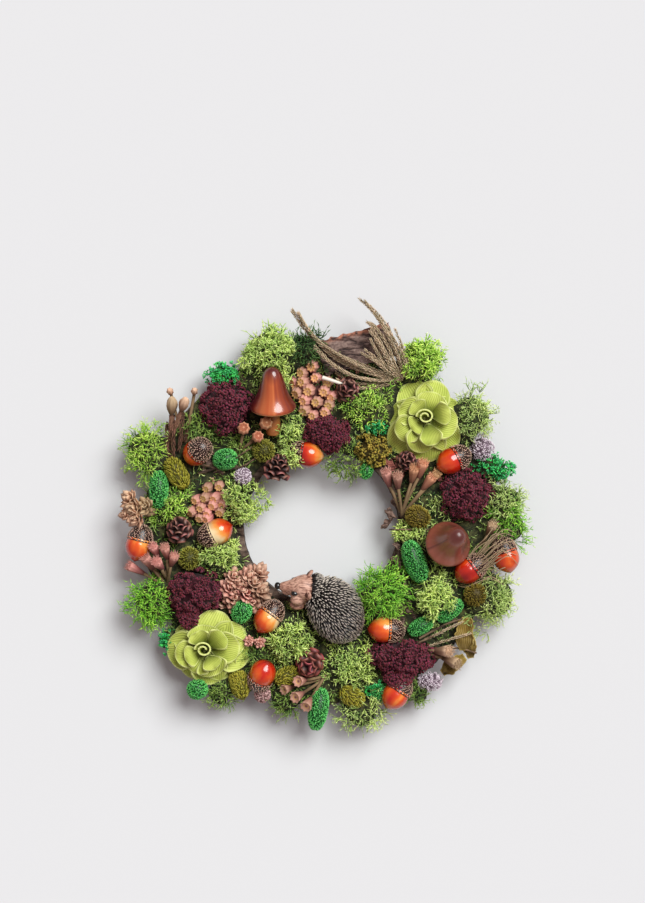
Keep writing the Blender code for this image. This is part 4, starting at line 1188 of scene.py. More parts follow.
# Roses of ribbed wood shavings: rings of petals, each as (heading, reach in mm), around a rolled heart
petalRings = (dict(half=14.0, lean=10, root=2.5, start=0), dict(half=11.5, lean=30, root=8.0, start=3.5),
              dict(half=8.5, lean=50, root=12.0, start=4.5))
roses = {
    1: dict(at=(78.7, 81.7), rings=(
        ((118, 29), (72, 28), (15, 27), (-42, 30), (-88, 32), (221, 34), (178, 27)),
        ((-150, 23), (-105, 24), (158, 19), (-16, 21), (70, 18)),
        ((-77, 17), (15, 15), (130, 13), (215, 12)))),
    2: dict(at=(-86.8, -92.3), rings=(
        ((68, 29), (25, 31), (-8, 32), (-45, 26), (-78, 25), (-126, 24), (180, 28), (146, 26)),
        ((95, 17), (8, 23), (-68, 18), (190, 20), (-125, 17)), ((40, 16), (200, 13), (115, 13), (-60, 13)))),
}
petalLook = dict(across=13, along=14, thick=1.35, roll=0.3, curl=0.2, ribs=15)
rollLook = dict(turns=1.5, inner=1.7, outer=5.6, tall=12.0, root=11.0, lean=(-1.0, 1.0), thick=1.15)


def makeRibbedFinish(name, low, high, rib, deep, rimColour, ribs, ribShare=0.3):
    made, tree, shader = newFinish(name, 0.66)
    split = tree.nodes.new("ShaderNodeSeparateXYZ")
    tree.links.new(tree.nodes.new("ShaderNodeUVMap").outputs[0], split.inputs[0])
    wave = mathNode(tree, "SINE", mathNode(tree, "MULTIPLY", split.outputs[0], ribs * fullTurn))
    groove = mathNode(tree, "POWER", mathNode(tree, "MULTIPLY_ADD", wave, 0.5, 0.5), 2.5)
    # Darker towards the foot (the deep colour): a painted shade under what lies over it
    depth = mathNode(tree, "MULTIPLY_ADD", split.outputs[1], -1.5, 0.95, clamp=True)
    colour = rampNode(tree, noiseNode(tree, 60.0, 3.0), (0.3, low), (0.7, high))
    for share, over in ((mathNode(tree, "MULTIPLY", groove, ribShare), rib), (depth, deep),
                        (attributeNode(tree, "rim"), rimColour)):
        colour = mixNode(tree, share, colour, over)
    paint(tree, shader, colour, mathNode(tree, "SUBTRACT", 1.0, groove), 0.22)
    return made


petalFinish = makeRibbedFinish("rosePetal", (174, 188, 72), (204, 212, 100), (128, 142, 48), (88, 100, 30),
                               (214, 220, 134), petalLook["ribs"])


# Marks the outermost part of a flat grid, from a share of its half width on
def markRim(piece, flat, start, slope):
    mark(piece, "rim", np.clip((np.abs(flat[:, :2]).max(1) - start) * slope, 0, 1))


# A round petal with a narrow foot: cupped along its middle, its far edge curled back and a little wavy
def makePetal(turn, reach, half, lean, root, start, chance):
    petal = gridPiece("petal", petalLook["across"], petalLook["along"])
    flat = pointsOf(petal)
    across = flat[:, 0] * np.sqrt(1 - flat[:, 1] ** 2 / 2)
    along = (flat[:, 1] * np.sqrt(1 - flat[:, 0] ** 2 / 2) + 1) / 2
    tilt = math.radians(lean + chance.uniform(-5, 5))
    long = (reach - start) / math.cos(tilt)
    half *= chance.uniform(0.9, 1.12)
    half *= 0.42 + 0.58 * np.clip(along * 1.7, 0, 1) ** 0.8
    edge = np.clip(np.hypot(across, 2 * along - 1), 0, 1)
    wave = np.sin(np.arctan2(across, along - 0.5) * 4 + chance.uniform(0, 6)) * edge ** 4
    lift = half * petalLook["roll"] * across ** 2 + wave + chance.uniform(-2.4, 2.4) * across * along
    curl = petalLook["curl"] * long
    out = start + long * along * np.cos(tilt * (0.55 + 0.45 * along))
    out += 1.2 * curl * along ** 3 * math.sin(tilt)
    rise = long * along * np.sin(tilt * (1.1 - 0.35 * along)) + lift - curl * along ** 4
    setPoints(petal, np.stack([out, across * half, rise + root], 1) * mm)
    markRim(petal, flat, 0.9, 10)
    petal.data.transform(turnAbout("Z", turn))
    thickened(petal, petalLook["thick"])
    return petal


# The heart is a strip rolled up, tilted a little to one side
def makeRoll(turns, inner, outer, tall, root, lean, thick):
    roll = gridPiece("roll", 70, 6)
    points = pointsOf(roll)
    run, rise = (points[:, 0] + 1) / 2, (points[:, 1] + 1) / 2
    angle = run * turns * fullTurn
    ring = (inner + (outer - inner) * run) * (0.8 + 0.24 * rise)
    height = tall * (1 - 0.22 * run ** 2) * (1 + 0.05 * np.sin(angle))
    setPoints(roll, np.stack([1.15 * ring * np.cos(angle) + lean[0] * rise,
                              ring * np.sin(angle) + lean[1] * rise, root + rise * height], 1) * mm)
    mark(roll, "rim", np.clip((points[:, 1] - 0.8) * 8, 0, 1))
    thickened(roll, thick)
    return roll


def makeRose(index, at, rings):
    chance = random.Random(index)
    parts = [makePetal(turn, reach, chance=chance, **look) for look, ring in zip(petalRings, rings)
             for turn, reach in ring]
    rose = joined(f"rose{index}", parts + [makeRoll(**rollLook)])
    bpy.ops.object.shade_smooth()
    bpy.ops.object.shade_smooth_by_angle(angle=math.radians(50))
    low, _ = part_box(f"rose_{index}")
    foot = Vector((*spot(*at).xy, low.z - pointsOf(rose)[:, 2].min()))
    rose.data.transform(Matrix.Translation(foot))
    dress(rose, petalFinish, "rose_petal", f"rose_{index}")


for index, look in roses.items():
    makeRose(index, **look)
print("roses made")


# Husk buds: closed goblets with an ochre heart, ribbed pods, and goblets that end in a brush
budFinish = growthFinish("budHusk", (62, 34, 30), (162, 102, 92), (206, 152, 134), (224, 172, 112),
                         variation=0.45)
strawFinish = growthFinish("strawHusk", (92, 66, 46), (186, 146, 112), (232, 200, 164), roughness=0.85)
frayedFinish = growthFinish("frayedHusk", (98, 60, 50), (190, 134, 114), (238, 196, 172), roughness=0.85)
tanFinish = growthFinish("tanHusk", (64, 46, 34), (156, 118, 92), (206, 172, 140), (188, 138, 88), 0.85, 0.45)
ochreFinish = growthFinish("ochreHusk", (70, 44, 32), (168, 116, 88), (206, 152, 112), (150, 92, 58), 0.85,
                           0.4)
brownFinish = growthFinish("brownHusk", (48, 30, 22), (108, 72, 54), (164, 120, 94), roughness=0.9)
huskStalkFinish = growthFinish("huskStalk", (84, 66, 46), (138, 112, 80), (168, 144, 108), roughness=0.9)
grassFinish = growthFinish("dryGrass", (90, 72, 54), (182, 158, 124), (240, 222, 190), roughness=0.9,
                           variation=0.6)
# The ribs wave the outline by the rib's share and raise the crown by its mm
budShapes = {
    "urn": dict(outline=((0, -9), (0.9, -8.5), (1.9, -5.6), (3.2, -1.8), (4.1, 1.6), (4.4, 4.0), (4.1, 6.0),
                         (3.3, 7.4), (2.7, 7.9), (2.2, 7.5), (1.0, 7.3), (0, 7.7)),
                ribs=8, rib=0.12, crown=0.6),
    "bell": dict(outline=((0, -8), (0.8, -7.6), (1.5, -4.6), (2.5, -0.6), (3.4, 2.8), (4.0, 5.4), (4.3, 7.0),
                          (3.7, 6.9), (2.9, 6.0), (1.9, 5.6), (0.7, 5.7), (0, 6.2)),
                 ribs=8, rib=0.1, crown=0.7),
    "pod": dict(outline=((0, -7), (0.9, -6.6), (2.1, -4.0), (3.4, 0), (3.9, 3.2), (3.5, 6.2), (2.3, 8.6),
                         (1.3, 9.6), (0.5, 9.2), (0, 8.8)),
                ribs=7, rib=0.15, crown=0.0),
    "brush": dict(outline=((0, -12), (0.8, -11.6), (1.5, -7.0), (2.5, -1.0), (3.3, 3.4), (3.5, 5.2),
                           (2.9, 6.2), (0, 6.0)),
                  ribs=7, rib=0.1, crown=0.5),
}
heartLook = dict(kinds=("urn", "bell"), above=4.5, wide=2.9, centre=1.0, centreAlong=0.3)
bristleLook = dict(count=64, level=0.35, ring=2.9, foot=5.4, least=2.2, most=4.0)
flakeRings = ((8, 55, 1.0), (7, 35, 0.6), (4, 12, 0.2))     # flakes, their lean and their ring's radius


# Short bristles that stand out of a brush
def makeBristles():
    chance = random.Random(9)
    lines = []
    for ball in spreadBalls(bristleLook["count"], chance, bristleLook["level"]):
        foot = Vector((ball.x * bristleLook["ring"], ball.y * bristleLook["ring"], bristleLook["foot"]))
        way = Vector((ball.x * 0.6, ball.y * 0.6, 1)).normalized()
        run = chance.uniform(bristleLook["least"], bristleLook["most"])
        lines.append([(foot + way * run * share) * mm for share in (-0.3, 0.5, 1)])
    return makeLines("bristles", lines, 0.36, 0.1, 3, True)


def makeBud(name, outline, ribs, rib, crown):
    bud = turned("bud", outline, 24)
    points = pointsOf(bud)
    radius, height = np.hypot(points[:, 0], points[:, 1]), points[:, 2] / mm
    wave = np.cos(ribs * np.arctan2(points[:, 1], points[:, 0]))
    outer = radius > 1.9 * mm
    grow = 1 + np.clip((height + 6) / 8, 0, 1) * outer * rib * wave
    points[:, 0] *= grow
    points[:, 1] *= grow
    points[:, 2] += np.clip((height - 5.5) / 2, 0, 1) * outer * crown * mm * wave
    setPoints(bud, points)
    along = np.clip(height / 16 + 0.5, 0, 1)
    if name in heartLook["kinds"]:
        isHigh = height > heartLook["above"]
        along[(radius < heartLook["wide"] * mm) & isHigh] = 2
        along[(radius < heartLook["centre"] * mm) & isHigh] = heartLook["centreAlong"]
    if name == "brush":
        bud = joined("bud", [bud, makeBristles()])
        along = np.concatenate([along, np.full(len(bud.data.vertices) - len(points), 0.95)])
    return takeForm(bud, along=along)


# A frayed husk: thin pointed flakes stand in three rings
def makeFrayed():
    flake = turned("flake", ((0, 0), (1, 1.8), (0.8, 4.0), (0, 5.6)), 4)
    setPoints(flake, pointsOf(flake) * np.array((1.9, 0.3, 1)))
    form = takeForm(flake)
    chance, spots = random.Random(4), []
    for count, lean, root in flakeRings:
        for k in range(count):
            turn = turnAbout("Z", 360 * k / count + 20 * root + chance.uniform(-12, 12))
            tilt = turnAbout("X", -lean + chance.uniform(-8, 8))
            place = Matrix.Translation(Vector((0, root, -0.5 * root)) * mm)
            spots.append((0, turn @ place @ tilt @ Matrix.Scale(chance.uniform(0.8, 1.2), 4), 0.5))
    made = copies("frayed", [form], spots)
    along = np.clip(pointsOf(made)[:, 2] / (5 * mm), 0, 1)
    return takeForm(made, along=0.2 + 0.8 * along)


# A small husk of the grass ears, and of scaly stems
def makeHusk():
    husk = turned("husk", ((0, -2.6), (0.6, -0.9), (0.5, 0.9), (0, 3.4)), 4)
    setPoints(husk, pointsOf(husk) * np.array((1, 0.8, 1)))
    return takeForm(husk)


budForms = {name: makeBud(name, **shape) for name, shape in budShapes.items()}
budForms["frayed"] = makeFrayed()
huskForm = makeHusk()
# Loose sprays: their foot, size, kind and heads
budSprays = {
    1: ((-112, 60), 1.0, "pod", ((-112, 89, 9), (-103.5, 90.5, 11))),
    4: ((-122, 10), 1.45, "frayed", ((-142, 20, 8), (-144, 10, 6), (-137, 7, 11), (-131, 15, 12),
                                     (-138, 14, 12))),
    5: ((-115, -42), 1.1, "brush", ((-124, -18, 12), (-116, -19, 15), (-129, -27, 9), (-139, -32, 4),
                                    (-121, -28, 16), (-111, -25, 14), (-133, -22, 7))),
    7: ((4, -112), 0.95, "bell", ((-24, -121, 6), (-16, -126, 7), (-9, -131, 9), (-14, -115, 11))),
    8: ((61, 9), 1.05, "brush", ((50, 36, 8), (57.5, 34, 11))),
    9: ((76, -92), 1.2, "brush", ((90.5, -93, 10), (97, -100.5, 8))),
}
spraySets = {1: dict(scaly=0.75, stem=1.3), 4: dict(stem=1.4), 7: dict(lift=0.8)}
# Dense bunches: place, size, kind, half sizes, the way the heads face, and the heads
budClusters = {
    2: ((-4, 101), 1.0, "urn", (12, 22, 8), (-0.5, -0.38, 0.85), (
        (-6.4, 120.8), (-13.9, 115.9), (-13.5, 108.8), (-3.8, 111.8), (-20.3, 109.5), (-9, 102.8),
        (-17.3, 100.9), (2.3, 102), (-12, 95.3), (-3, 93.8), (6, 91.5), (3, 86.3), (-6, 83.8), (-12, 88),
        (8, 98), (5, 109))),
    3: ((-85, 18), 0.85, "urn", (13, 13, 8), (-0.5, -0.6, 0.65), (
        (-87, 22.1), (-79.5, 21.8), (-76.5, 30.8), (-72, 24), (-90, 14.6), (-85.5, 10.9), (-81, 16.5),
        (-75.8, 11.5), (-96.8, 12), (-85.5, 6.8), (-93.8, 20.3), (-85.5, 29.3), (-74, 17), (-91, 7))),
    6: ((-59, -46), 1.6, "frayed", (14, 13, 7), (0.3, 0.4, 0.6), (
        (-55, -37), (-47, -35), (-51, -43), (-56, -50), (-46, -49), (-43, -55), (-68, -46), (-75, -55),
        (-66, -54), (-63, -61), (-66, -38), (-61, -44), (-52, -57))),
}
sprayFinishes = dict(budSpray1=tanFinish, budSpray9=tanFinish, smallPods=tanFinish, rightHead=tanFinish,
                     ochreHeads=ochreFinish, roundHeads=ochreFinish, lowerHeads=frayedFinish,
                     budSpray4=strawFinish, budSpray6=frayedFinish)


# An ear's husks: how many stand around its line, their spacing, and their size from foot to tip
earLook = dict(around=3, turn=0.9, spacing=2.5, least=0.55, grown=0.72, foot=0.12, run=0.76, power=0.7)


# Husks set around and along a line, largest in its middle
def earSpots(chance, line, size):
    spots = []
    for index, (start, end) in enumerate(zip(line, line[1:])):
        way = (end - start).normalized()
        share = index / (len(line) - 1)
        swell = math.sin(math.pi * min(earLook["foot"] + earLook["run"] * share, 1)) ** earLook["power"]
        grown = size * (earLook["least"] + earLook["grown"] * swell)
        for k in range(earLook["around"]):
            around = fullTurn * k / earLook["around"] + index * earLook["turn"]
            out = Matrix.Rotation(around, 3, way) @ way.orthogonal().normalized()
            lean = (way + out * chance.uniform(0.2, 0.45)).normalized()
            place = start + out * grown * mm + way * chance.uniform(0, 0.8) * mm
            matrix = stood(place, lean, grown * chance.uniform(0.8, 1.15), chance.uniform(0, 6))
            spots.append((0, matrix, chance.random()))
    return spots


sprayLook = dict(headRise=3, footRise=1.5, footSpread=2.5, bend=2.5, wander=0.12)


# Stems from a foot up to each head; the head points on along its stem
def makeSpray(name, root, size, kind, heads, seed, *nodes, stem=1.1, scaly=0.0, lift=0.3):
    chance = random.Random(seed)
    spots, lines = [], []
    spread = sprayLook["footSpread"]
    for x, y, above in heads:
        head = spot(x, y, standHeight + above + sprayLook["headRise"])
        foot = spot(*(side + chance.uniform(-spread, spread) for side in root),
                    standHeight + sprayLook["footRise"])
        way = head - foot
        way.z = max(way.z, 0)
        lean = way.normalized() + Vector((0, 0, lift)) + randomWay(chance) * sprayLook["wander"]
        lean.normalize()
        spots.append(anyCopy(chance, 0, head, lean, size * chance.uniform(0.92, 1.08)))
        bend = foot.lerp(head, 0.5) + Vector((0, 0, sprayLook["bend"])) * mm
        lines.append(smoothLine([foot, bend, head - lean * 6 * size * mm], 5))
    dress(copies(name, [budForms[kind]], spots), sprayFinishes.get(name, budFinish), "bud_husk", *nodes)
    stems = makeLines(name + "Stems", lines, stem, stem * 1.1)
    if scaly:
        scales = [entry for line in lines for entry in earSpots(chance, smoothLine(line, 3), scaly)]
        stems = covered(name + "Stems", stems, huskForm, scales)
    dress(stems, brownFinish if scaly else huskStalkFinish, "bud_husk", *nodes)


# Heads over a dome, and under most of them a lower one that fills the bunch
def makeCluster(name, at, size, kind, half, facing, heads, seed, node):
    chance = random.Random(seed)
    spots = []
    middle, half = spot(*at, standHeight), Vector(half)
    sunk = 1.0 if kind == "frayed" else 4.0
    for x, y in heads:
        across, ahead = (x - at[0]) / (half.x * 1.3), (y - at[1]) / (half.y * 1.3)
        level = math.sqrt(max(1 - across ** 2 - ahead ** 2, 0))
        out = outwardOf(Vector((across, ahead, max(level, 0.2))), half)
        lean = (out * 0.35 + Vector(facing) + randomWay(chance) * 0.2).normalized()
        place = spot(x, y, standHeight + 1.0 + half.z * level) - lean * sunk * size * mm
        spots.append(anyCopy(chance, 0, place, lean, size * chance.uniform(0.9, 1.1)))
        if len(spots) % 3 == 0:
            continue
        # A lower head gets a darker tint: a painted shade under the bunch
        lower = place + Vector((chance.uniform(-5, 5), chance.uniform(-5, 5), -4.5)) * mm
        lowerWay = (lean + randomWay(chance) * 0.6).normalized()
        matrix = stood(lower, lowerWay, size * 0.95, chance.uniform(0, anyRoll))
        spots.append((0, matrix, chance.uniform(0, 0.5)))
    core = makeCore(name, middle, half * 0.75 * mm, floor=middle.z - 0.5 * mm, along=0.1)
    finish = sprayFinishes.get(name, budFinish)
    dress(covered(name, core, budForms[kind], spots), finish, "bud_husk", node)


for index, look in budSprays.items():
    makeSpray(f"budSpray{index}", *look, index, f"bud_spray_{index}", **spraySets.get(index, {}))
for index, look in budClusters.items():
    makeCluster(f"budSpray{index}", *look, index, f"bud_spray_{index}")
print("buds made")


# Dry grass ears: the places of each line as (x, y, height over the bed), in mm
grassEars = (
    ((60, 111, 3.4), (44, 115, 9), (24, 122, 11.5), (5, 132, 12), (-9, 145.5, 14), (-21, 160.5, 16)),
    ((60, 111, 3.4), (42, 112, 11), (24, 118, 13.5), (6, 128, 13), (-10, 145, 14.5), (-20, 158, 16)),
    ((60, 110, 3.4), (44, 109, 10), (26, 112, 12), (10, 120, 13), (-4, 133, 13)),
    ((58, 112, 3.4), (36, 118, 13), (18, 126, 15), (2, 136, 13)),
    ((60, 111, 3.4), (40, 107, 9), (24, 108, 11), (12, 114, 11)),
    ((60, 111, 3.4), (60, 121, 10), (54, 138, 15), (44, 156, 19), (29, 171, 22)),
    ((60, 111, 3.4), (57, 126, 13), (50, 141, 18), (42, 154, 20), (32, 168, 22)),
    ((60, 111, 3.4), (55, 122, 13), (48, 138, 18), (39, 150, 20), (33, 154, 20)),
    ((60, 111, 3.4), (52, 122, 14), (46, 136, 17), (39, 147, 18)),
    ((60, 111, 3.4), (51, 117, 14), (41, 125, 17), (31, 131, 17)),
    ((60, 111, 3.4), (64, 119, 9), (60, 132, 13), (52, 147, 16)),
    ((60, 111, 3.4), (49, 121, 12), (42, 132, 15), (38, 141, 16)),
)


# Each line in a few strands, a little apart and a little uneven
def looseLines(chance, lines, strands, apart):
    for line in lines:
        for _ in range(strands):
            off = randomWay(chance) * apart
            yield [spot(x, y, standHeight + above)
                   + (off * (0.4 + index / len(line)) + randomWay(chance) * 0.3 * apart) * mm
                   for index, (x, y, above) in enumerate(line)]


def makeEars(name, lines, size, seed, *nodes, finish=grassFinish, strands=1, apart=0.0):
    chance = random.Random(seed)
    spots = []
    for places in looseLines(chance, lines, strands, apart):
        run = sum((b - a).length for a, b in zip(places, places[1:]))
        perSpan = max(2, round(run / (earLook["spacing"] * size * mm) / (len(places) - 1)))
        spots += earSpots(chance, smoothLine(places, perSpan), size)
    dress(copies(name, [huskForm], spots), finish, "dry_grass", *nodes)


makeEars("grassEars", grassEars, 0.62, 3, "grass_ears", strands=2, apart=2.8)
print("grass made")


# The hedgehog: a smooth resin face and a back of short blunt spines with pale tips
hedgehog = dict(at=(10.5, -62), heading=118, half=(26, 20.5, 17), sunk=0.85)
hedgehogHead = dict(at=(-12, -45.7), heading=176, rise=14, roll=25)
snoutOutline = ((0, -6), (6, -5.6), (9.4, -4), (10.4, -1), (10.2, 2.0), (8.8, 6), (6.8, 9.6), (5.0, 12.8),
                (3.9, 16.0), (3.0, 18.2), (1.8, 19.6), (0, 20))
spineOutline = ((0, -0.8), (0.72, 0.8), (0.7, 3.9), (0, 6.2))
spineLook = dict(count=1080, margin=2.6, clear=9.5, hood=480, tall=6.2)
# Balls of the face as (place, radius, stretch) in its own axes: +X to the nose, +Y to the figure's
# left, +Z up. Cheeks, brows and lips first, then forehead, chin and neck; the right cheek is set in.
faceBalls = (
    ((5.0, 8.8, -2.0), 5.0, (1.1, 0.95, 1.0)), ((6.0, 4.4, 5.2), 2.3, (1.7, 0.9, 0.8)),
    ((12.5, 2.6, -3.0), 3.4, (1.5, 0.9, 0.8)),
    ((5.0, -5.0, -2.0), 5.0, (1.1, 0.95, 1.0)), ((6.0, -4.4, 5.2), 2.3, (1.7, 0.9, 0.8)),
    ((12.5, -2.6, -3.0), 3.4, (1.5, 0.9, 0.8)),
    ((-1.0, 0, 3.0), 8.6, (1, 1.02, 0.86)), ((8.0, 0, -5.6), 4.6, (1, 1, 1)), ((-3, 2, -6), 9, (1, 1, 1)),
)
pawBalls = (((5.0, 11.0, -8.5), 3.8, (1.5, 0.9, 0.7)), ((6.0, -6.5, -11.0), 4.4, (1.4, 0.8, 0.6)))
# The nose, then both eyes
darkBalls = (((20.6, 0, 0.9), 2.8, (0.85, 1, 0.9)), ((7.6, 7.0, 4.9), 2.1, (1.25, 0.9, 0.75)),
             ((8.6, -6.4, 0.4), 1.6, (1.25, 0.9, 0.75)))
earBalls = [((-2.8, 8.8 * side, 7.4), 3.6, (0.42, 1, 1)) for side in (1, -1)]
hollowBalls = [((-1.8, 9.0 * side, 7.7), 2.2, (0.3, 1, 1)) for side in (1, -1)]


def standFrame(at, height, heading):
    return Matrix.Translation(spot(*at, standHeight + height)) @ turnAbout("Z", heading)


bodyFrame = standFrame(hedgehog["at"], hedgehog["sunk"] * hedgehog["half"][2], hedgehog["heading"])
headFrame = (standFrame(hedgehogHead["at"], hedgehogHead["rise"], hedgehogHead["heading"])
             @ turnAbout("X", hedgehogHead["roll"]))


def headBall(name, place, size, stretch, turn=Matrix.Identity(4)):
    clearSelection()
    bpy.ops.mesh.primitive_uv_sphere_add(segments=24, ring_count=12, radius=size * mm)
    ball = namedPiece(name)
    shape = turn @ Matrix.Diagonal((*stretch, 1))
    ball.data.transform(headFrame @ Matrix.Translation(Vector(place) * mm) @ shape)
    bpy.ops.object.shade_smooth()
    return ball


def makeFace():
    snout = turned("snout", snoutOutline, 40, 3)
    snout.data.transform(headFrame @ turnAbout("Y", 90))
    face = joined("hedgehogFace", [snout] + [headBall("lump", *ball) for ball in faceBalls])
    applied(face, "REMESH", mode="VOXEL", voxel_size=0.7 * mm, use_smooth_shade=True)
    applied(face, "SMOOTH", factor=0.6, iterations=6)
    return face


def makeFaceFinish():
    made, tree, shader = newFinish("hedgehogFace", 0.5)
    fur = noiseNode(tree, 900.0, 3.0, (0.25, 1, 1))
    base = rampNode(tree, noiseNode(tree, 80.0, 2.0), (0.35, (184, 132, 110)), (0.65, (218, 172, 150)))
    strands = mathNode(tree, "MULTIPLY_ADD", fur, 4.5, -1.5, clamp=True)
    paint(tree, shader, mixNode(tree, strands, (122, 78, 64), base), fur, 0.3)
    return made


faceFinish = makeFaceFinish()
spineFinish = growthFinish("hedgehogSpine", (16, 15, 16), (58, 53, 52), (252, 236, 218), roughness=0.42,
                           variation=0.35, mottle=500.0)
blackFinish = plainFinish("glossyBlack", (14, 13, 14), 0.12, Coat_Weight=0.5)
earFinish = plainFinish("innerEar", (96, 58, 46), 0.6)


def makeSpine():
    spine = turned("spine", spineOutline, 4)
    height = pointsOf(spine)[:, 2] / (spineLook["tall"] * mm)
    return takeForm(spine, along=np.where(height > 0.9, 1, height.clip(0, 1) * 0.8))


spineForm = makeSpine()


# Spines fan backwards from the brow over the whole back, clear of the collar
def backSpots(chance, half):
    face = headFrame @ (Vector((6, 0, 2)) * mm)
    collar = headFrame @ (Vector((2.5, 0, 0)) * mm)
    for ball in spreadBalls(spineLook["count"], chance, -0.75, 0.05):
        place = bodyFrame @ (scaled(ball, half) * mm)
        if (place - collar).length < spineLook["clear"] * mm:
            continue
        out = (bodyFrame.to_3x3() @ outwardOf(ball, half)).normalized()
        back = place - face
        back -= out * back.dot(out)
        way = (out * 0.5 + back.normalized() + randomWay(chance) * 0.1).normalized()
        yield 0, stood(place - out * 0.6 * mm, way, chance.uniform(0.85, 1.2)), chance.random()


# A hood of shorter spines starts behind the ears
def hoodSpots(chance):
    back = (headFrame.to_3x3() @ Vector((-1, 0, 0))).normalized()
    for ball in spreadBalls(spineLook["hood"], chance, -1.0, 0.05):
        if ball.x > -0.02 or ball.z < -0.6:
            continue
        place = headFrame @ (Vector((-4.2 + 9.0 * ball.x, 9.6 * ball.y, 1.5 + 9.4 * ball.z)) * mm)
        out = (headFrame.to_3x3() @ ball).normalized()
        way = (out * 0.55 + back + randomWay(chance) * 0.15).normalized()
        yield 0, stood(place, way, chance.uniform(0.65, 0.85)), chance.random()


def makeBack():
    chance = random.Random(12)
    half = Vector(hedgehog["half"]) - Vector((1, 1, 1)) * spineLook["margin"]
    spots = [*backSpots(chance, half), *hoodSpots(chance)]
    core = makeCore("hedgehogBack", bodyFrame.translation, half * mm, bodyFrame.to_3x3().to_4x4(), along=0.0)
    napePlace = headFrame @ (Vector((-5, 0, 0.8)) * mm)
    nape = makeCore("nape", napePlace, Vector((8.6, 8.8, 8.6)) * mm, along=0.0)
    return joined("hedgehogBack", [core, nape, copies("hedgehogBack", [spineForm], spots)])


def makeHedgehog():
    ears, hollows = [], []
    for side, ear, hollow in zip((1, -1), earBalls, hollowBalls):
        turn = turnAbout("Z", 28 * side) @ turnAbout("Y", -25)
        ears.append(headBall("ear", *ear, turn))
        hollows.append(headBall("hollow", *hollow, turn))
    ears += [headBall("paw", *ball) for ball in pawBalls]
    face = makeFace()
    dark = [headBall("dark", *ball) for ball in darkBalls]
    for piece, finish in ((face, faceFinish), (joined("hedgehogEars", ears), faceFinish),
                          (joined("hedgehogEarHollows", hollows), earFinish),
                          (joined("hedgehogEyes", dark), blackFinish), (makeBack(), spineFinish)):
        dress(piece, finish, "hedgehog_resin", "hedgehog")


makeHedgehog()
print("hedgehog made")


# Bark: the ring the bed is glued on, and a slab at the top
def makeBarkFinish(name, dark, middle, light, scale=90.0, broken=None):
    made, tree, shader = newFinish(name, 0.92)
    node = groupNode(tree, fibreGroup, Scale=scale, Crack=0.6)
    colour = rampNode(tree, node.outputs["Streak"], (0.05, dark), (0.3, middle), (0.62, light))
    if broken:
        patch = mathNode(tree, "MULTIPLY_ADD", noiseNode(tree, 240.0, 3.0), 5.0, -2.0, clamp=True)
        share = mathNode(tree, "MULTIPLY", attributeNode(tree, "rim"), patch)
        colour = mixNode(tree, share, colour, broken)
    paint(tree, shader, colour, node.outputs["Height"], 1.0)
    return made


barkFinish = makeBarkFinish("ringBark", (30, 22, 18), (84, 66, 56), (130, 110, 96))
slabFinish = makeBarkFinish("slabBark", (46, 34, 32), (100, 78, 72), (150, 126, 116), 170.0, (186, 122, 96))
barkRing = dict(inner=58.3, outer=134.4, tall=14, step=2.9, sides=160, middle=96.0)
barkRough = dict(ridge=1.6, grain=0.7, sunk=0.6, fade=30, backShare=0.3)    # mm, and the back's share
slab = dict(size=(56, 26, 6.5), heading=15, cuts=23, broken=4.5)


def barkOutline(inner, outer, tall, step):
    out = [(r, 0) for r in np.arange(inner, outer, step)] + [(outer, z) for z in np.arange(0, tall, step)]
    back = [(r, tall) for r in np.arange(outer, inner, -step)]
    back += [(inner, z) for z in np.arange(tall, 0, -step)]
    return [(float(r), float(z)) for r, z in out + back + [(inner, 0)]]


# Ridges run up both sides of the ring and fade towards its middle and its back
def makeBarkRing(sides, middle, **size):
    ring = turned("barkRing", barkOutline(**size), sides)
    ring.data.transform(Matrix.Translation(ringCentre))
    moved = []
    for point in pointsOf(ring):
        place = (Vector(point) - ringCentre) / mm
        out = Vector((place.x, place.y, 0)).normalized()
        ridge = noise.noise(Vector((place.x, place.y, place.z * 0.25)) * 0.28)
        rough = noise.noise(place * 0.8)
        outward = out if place.xy.length > middle else -out
        edge = min(1.0, abs(place.xy.length - middle) / barkRough["fade"])
        edge *= 1 if place.z > 0.2 else barkRough["backShare"]
        shift = outward * edge * (barkRough["ridge"] * ridge + barkRough["grain"] * rough - barkRough["sunk"])
        moved.append(Vector(point) + shift * mm)
    setPoints(ring, moved)
    dress(ring, barkFinish, "bark", "bark_ring")


# A board with jagged edges and a wavy face; its far edge is broken and lighter
def makeSlab(size, heading, cuts, broken):
    made = cutCube("barkSlab", size, cuts)
    wide, deep, _ = size
    moved = []
    for point in pointsOf(made):
        place = Vector(point) / mm
        jag = 1.6 * noise.noise(Vector((place.x * 0.22, 3.1, 0)))
        jag += 0.8 * noise.noise(Vector((place.x * 0.7, 8.1, 0)))
        place.y += jag * (place.y / deep * 2)
        place.x += 1.2 * noise.noise(Vector((place.y * 0.3, 7.7, 0))) * (place.x / wide * 2)
        place.z += 1.0 * noise.noise(Vector((place.x * 0.16, place.y * 0.4, 2.0)))
        moved.append(place * mm)
    mark(made, "rim", np.clip((pointsOf(made)[:, 1] / mm - deep / 2 + broken) / 3, 0, 1))
    setPoints(made, moved)
    made.data.transform(turnAbout("Z", heading))
    alignTo("bark_slab", made)
    dress(made, slabFinish, "bark", "bark_slab")


makeBarkRing(**barkRing)
makeSlab(**slab)
print("bark made")


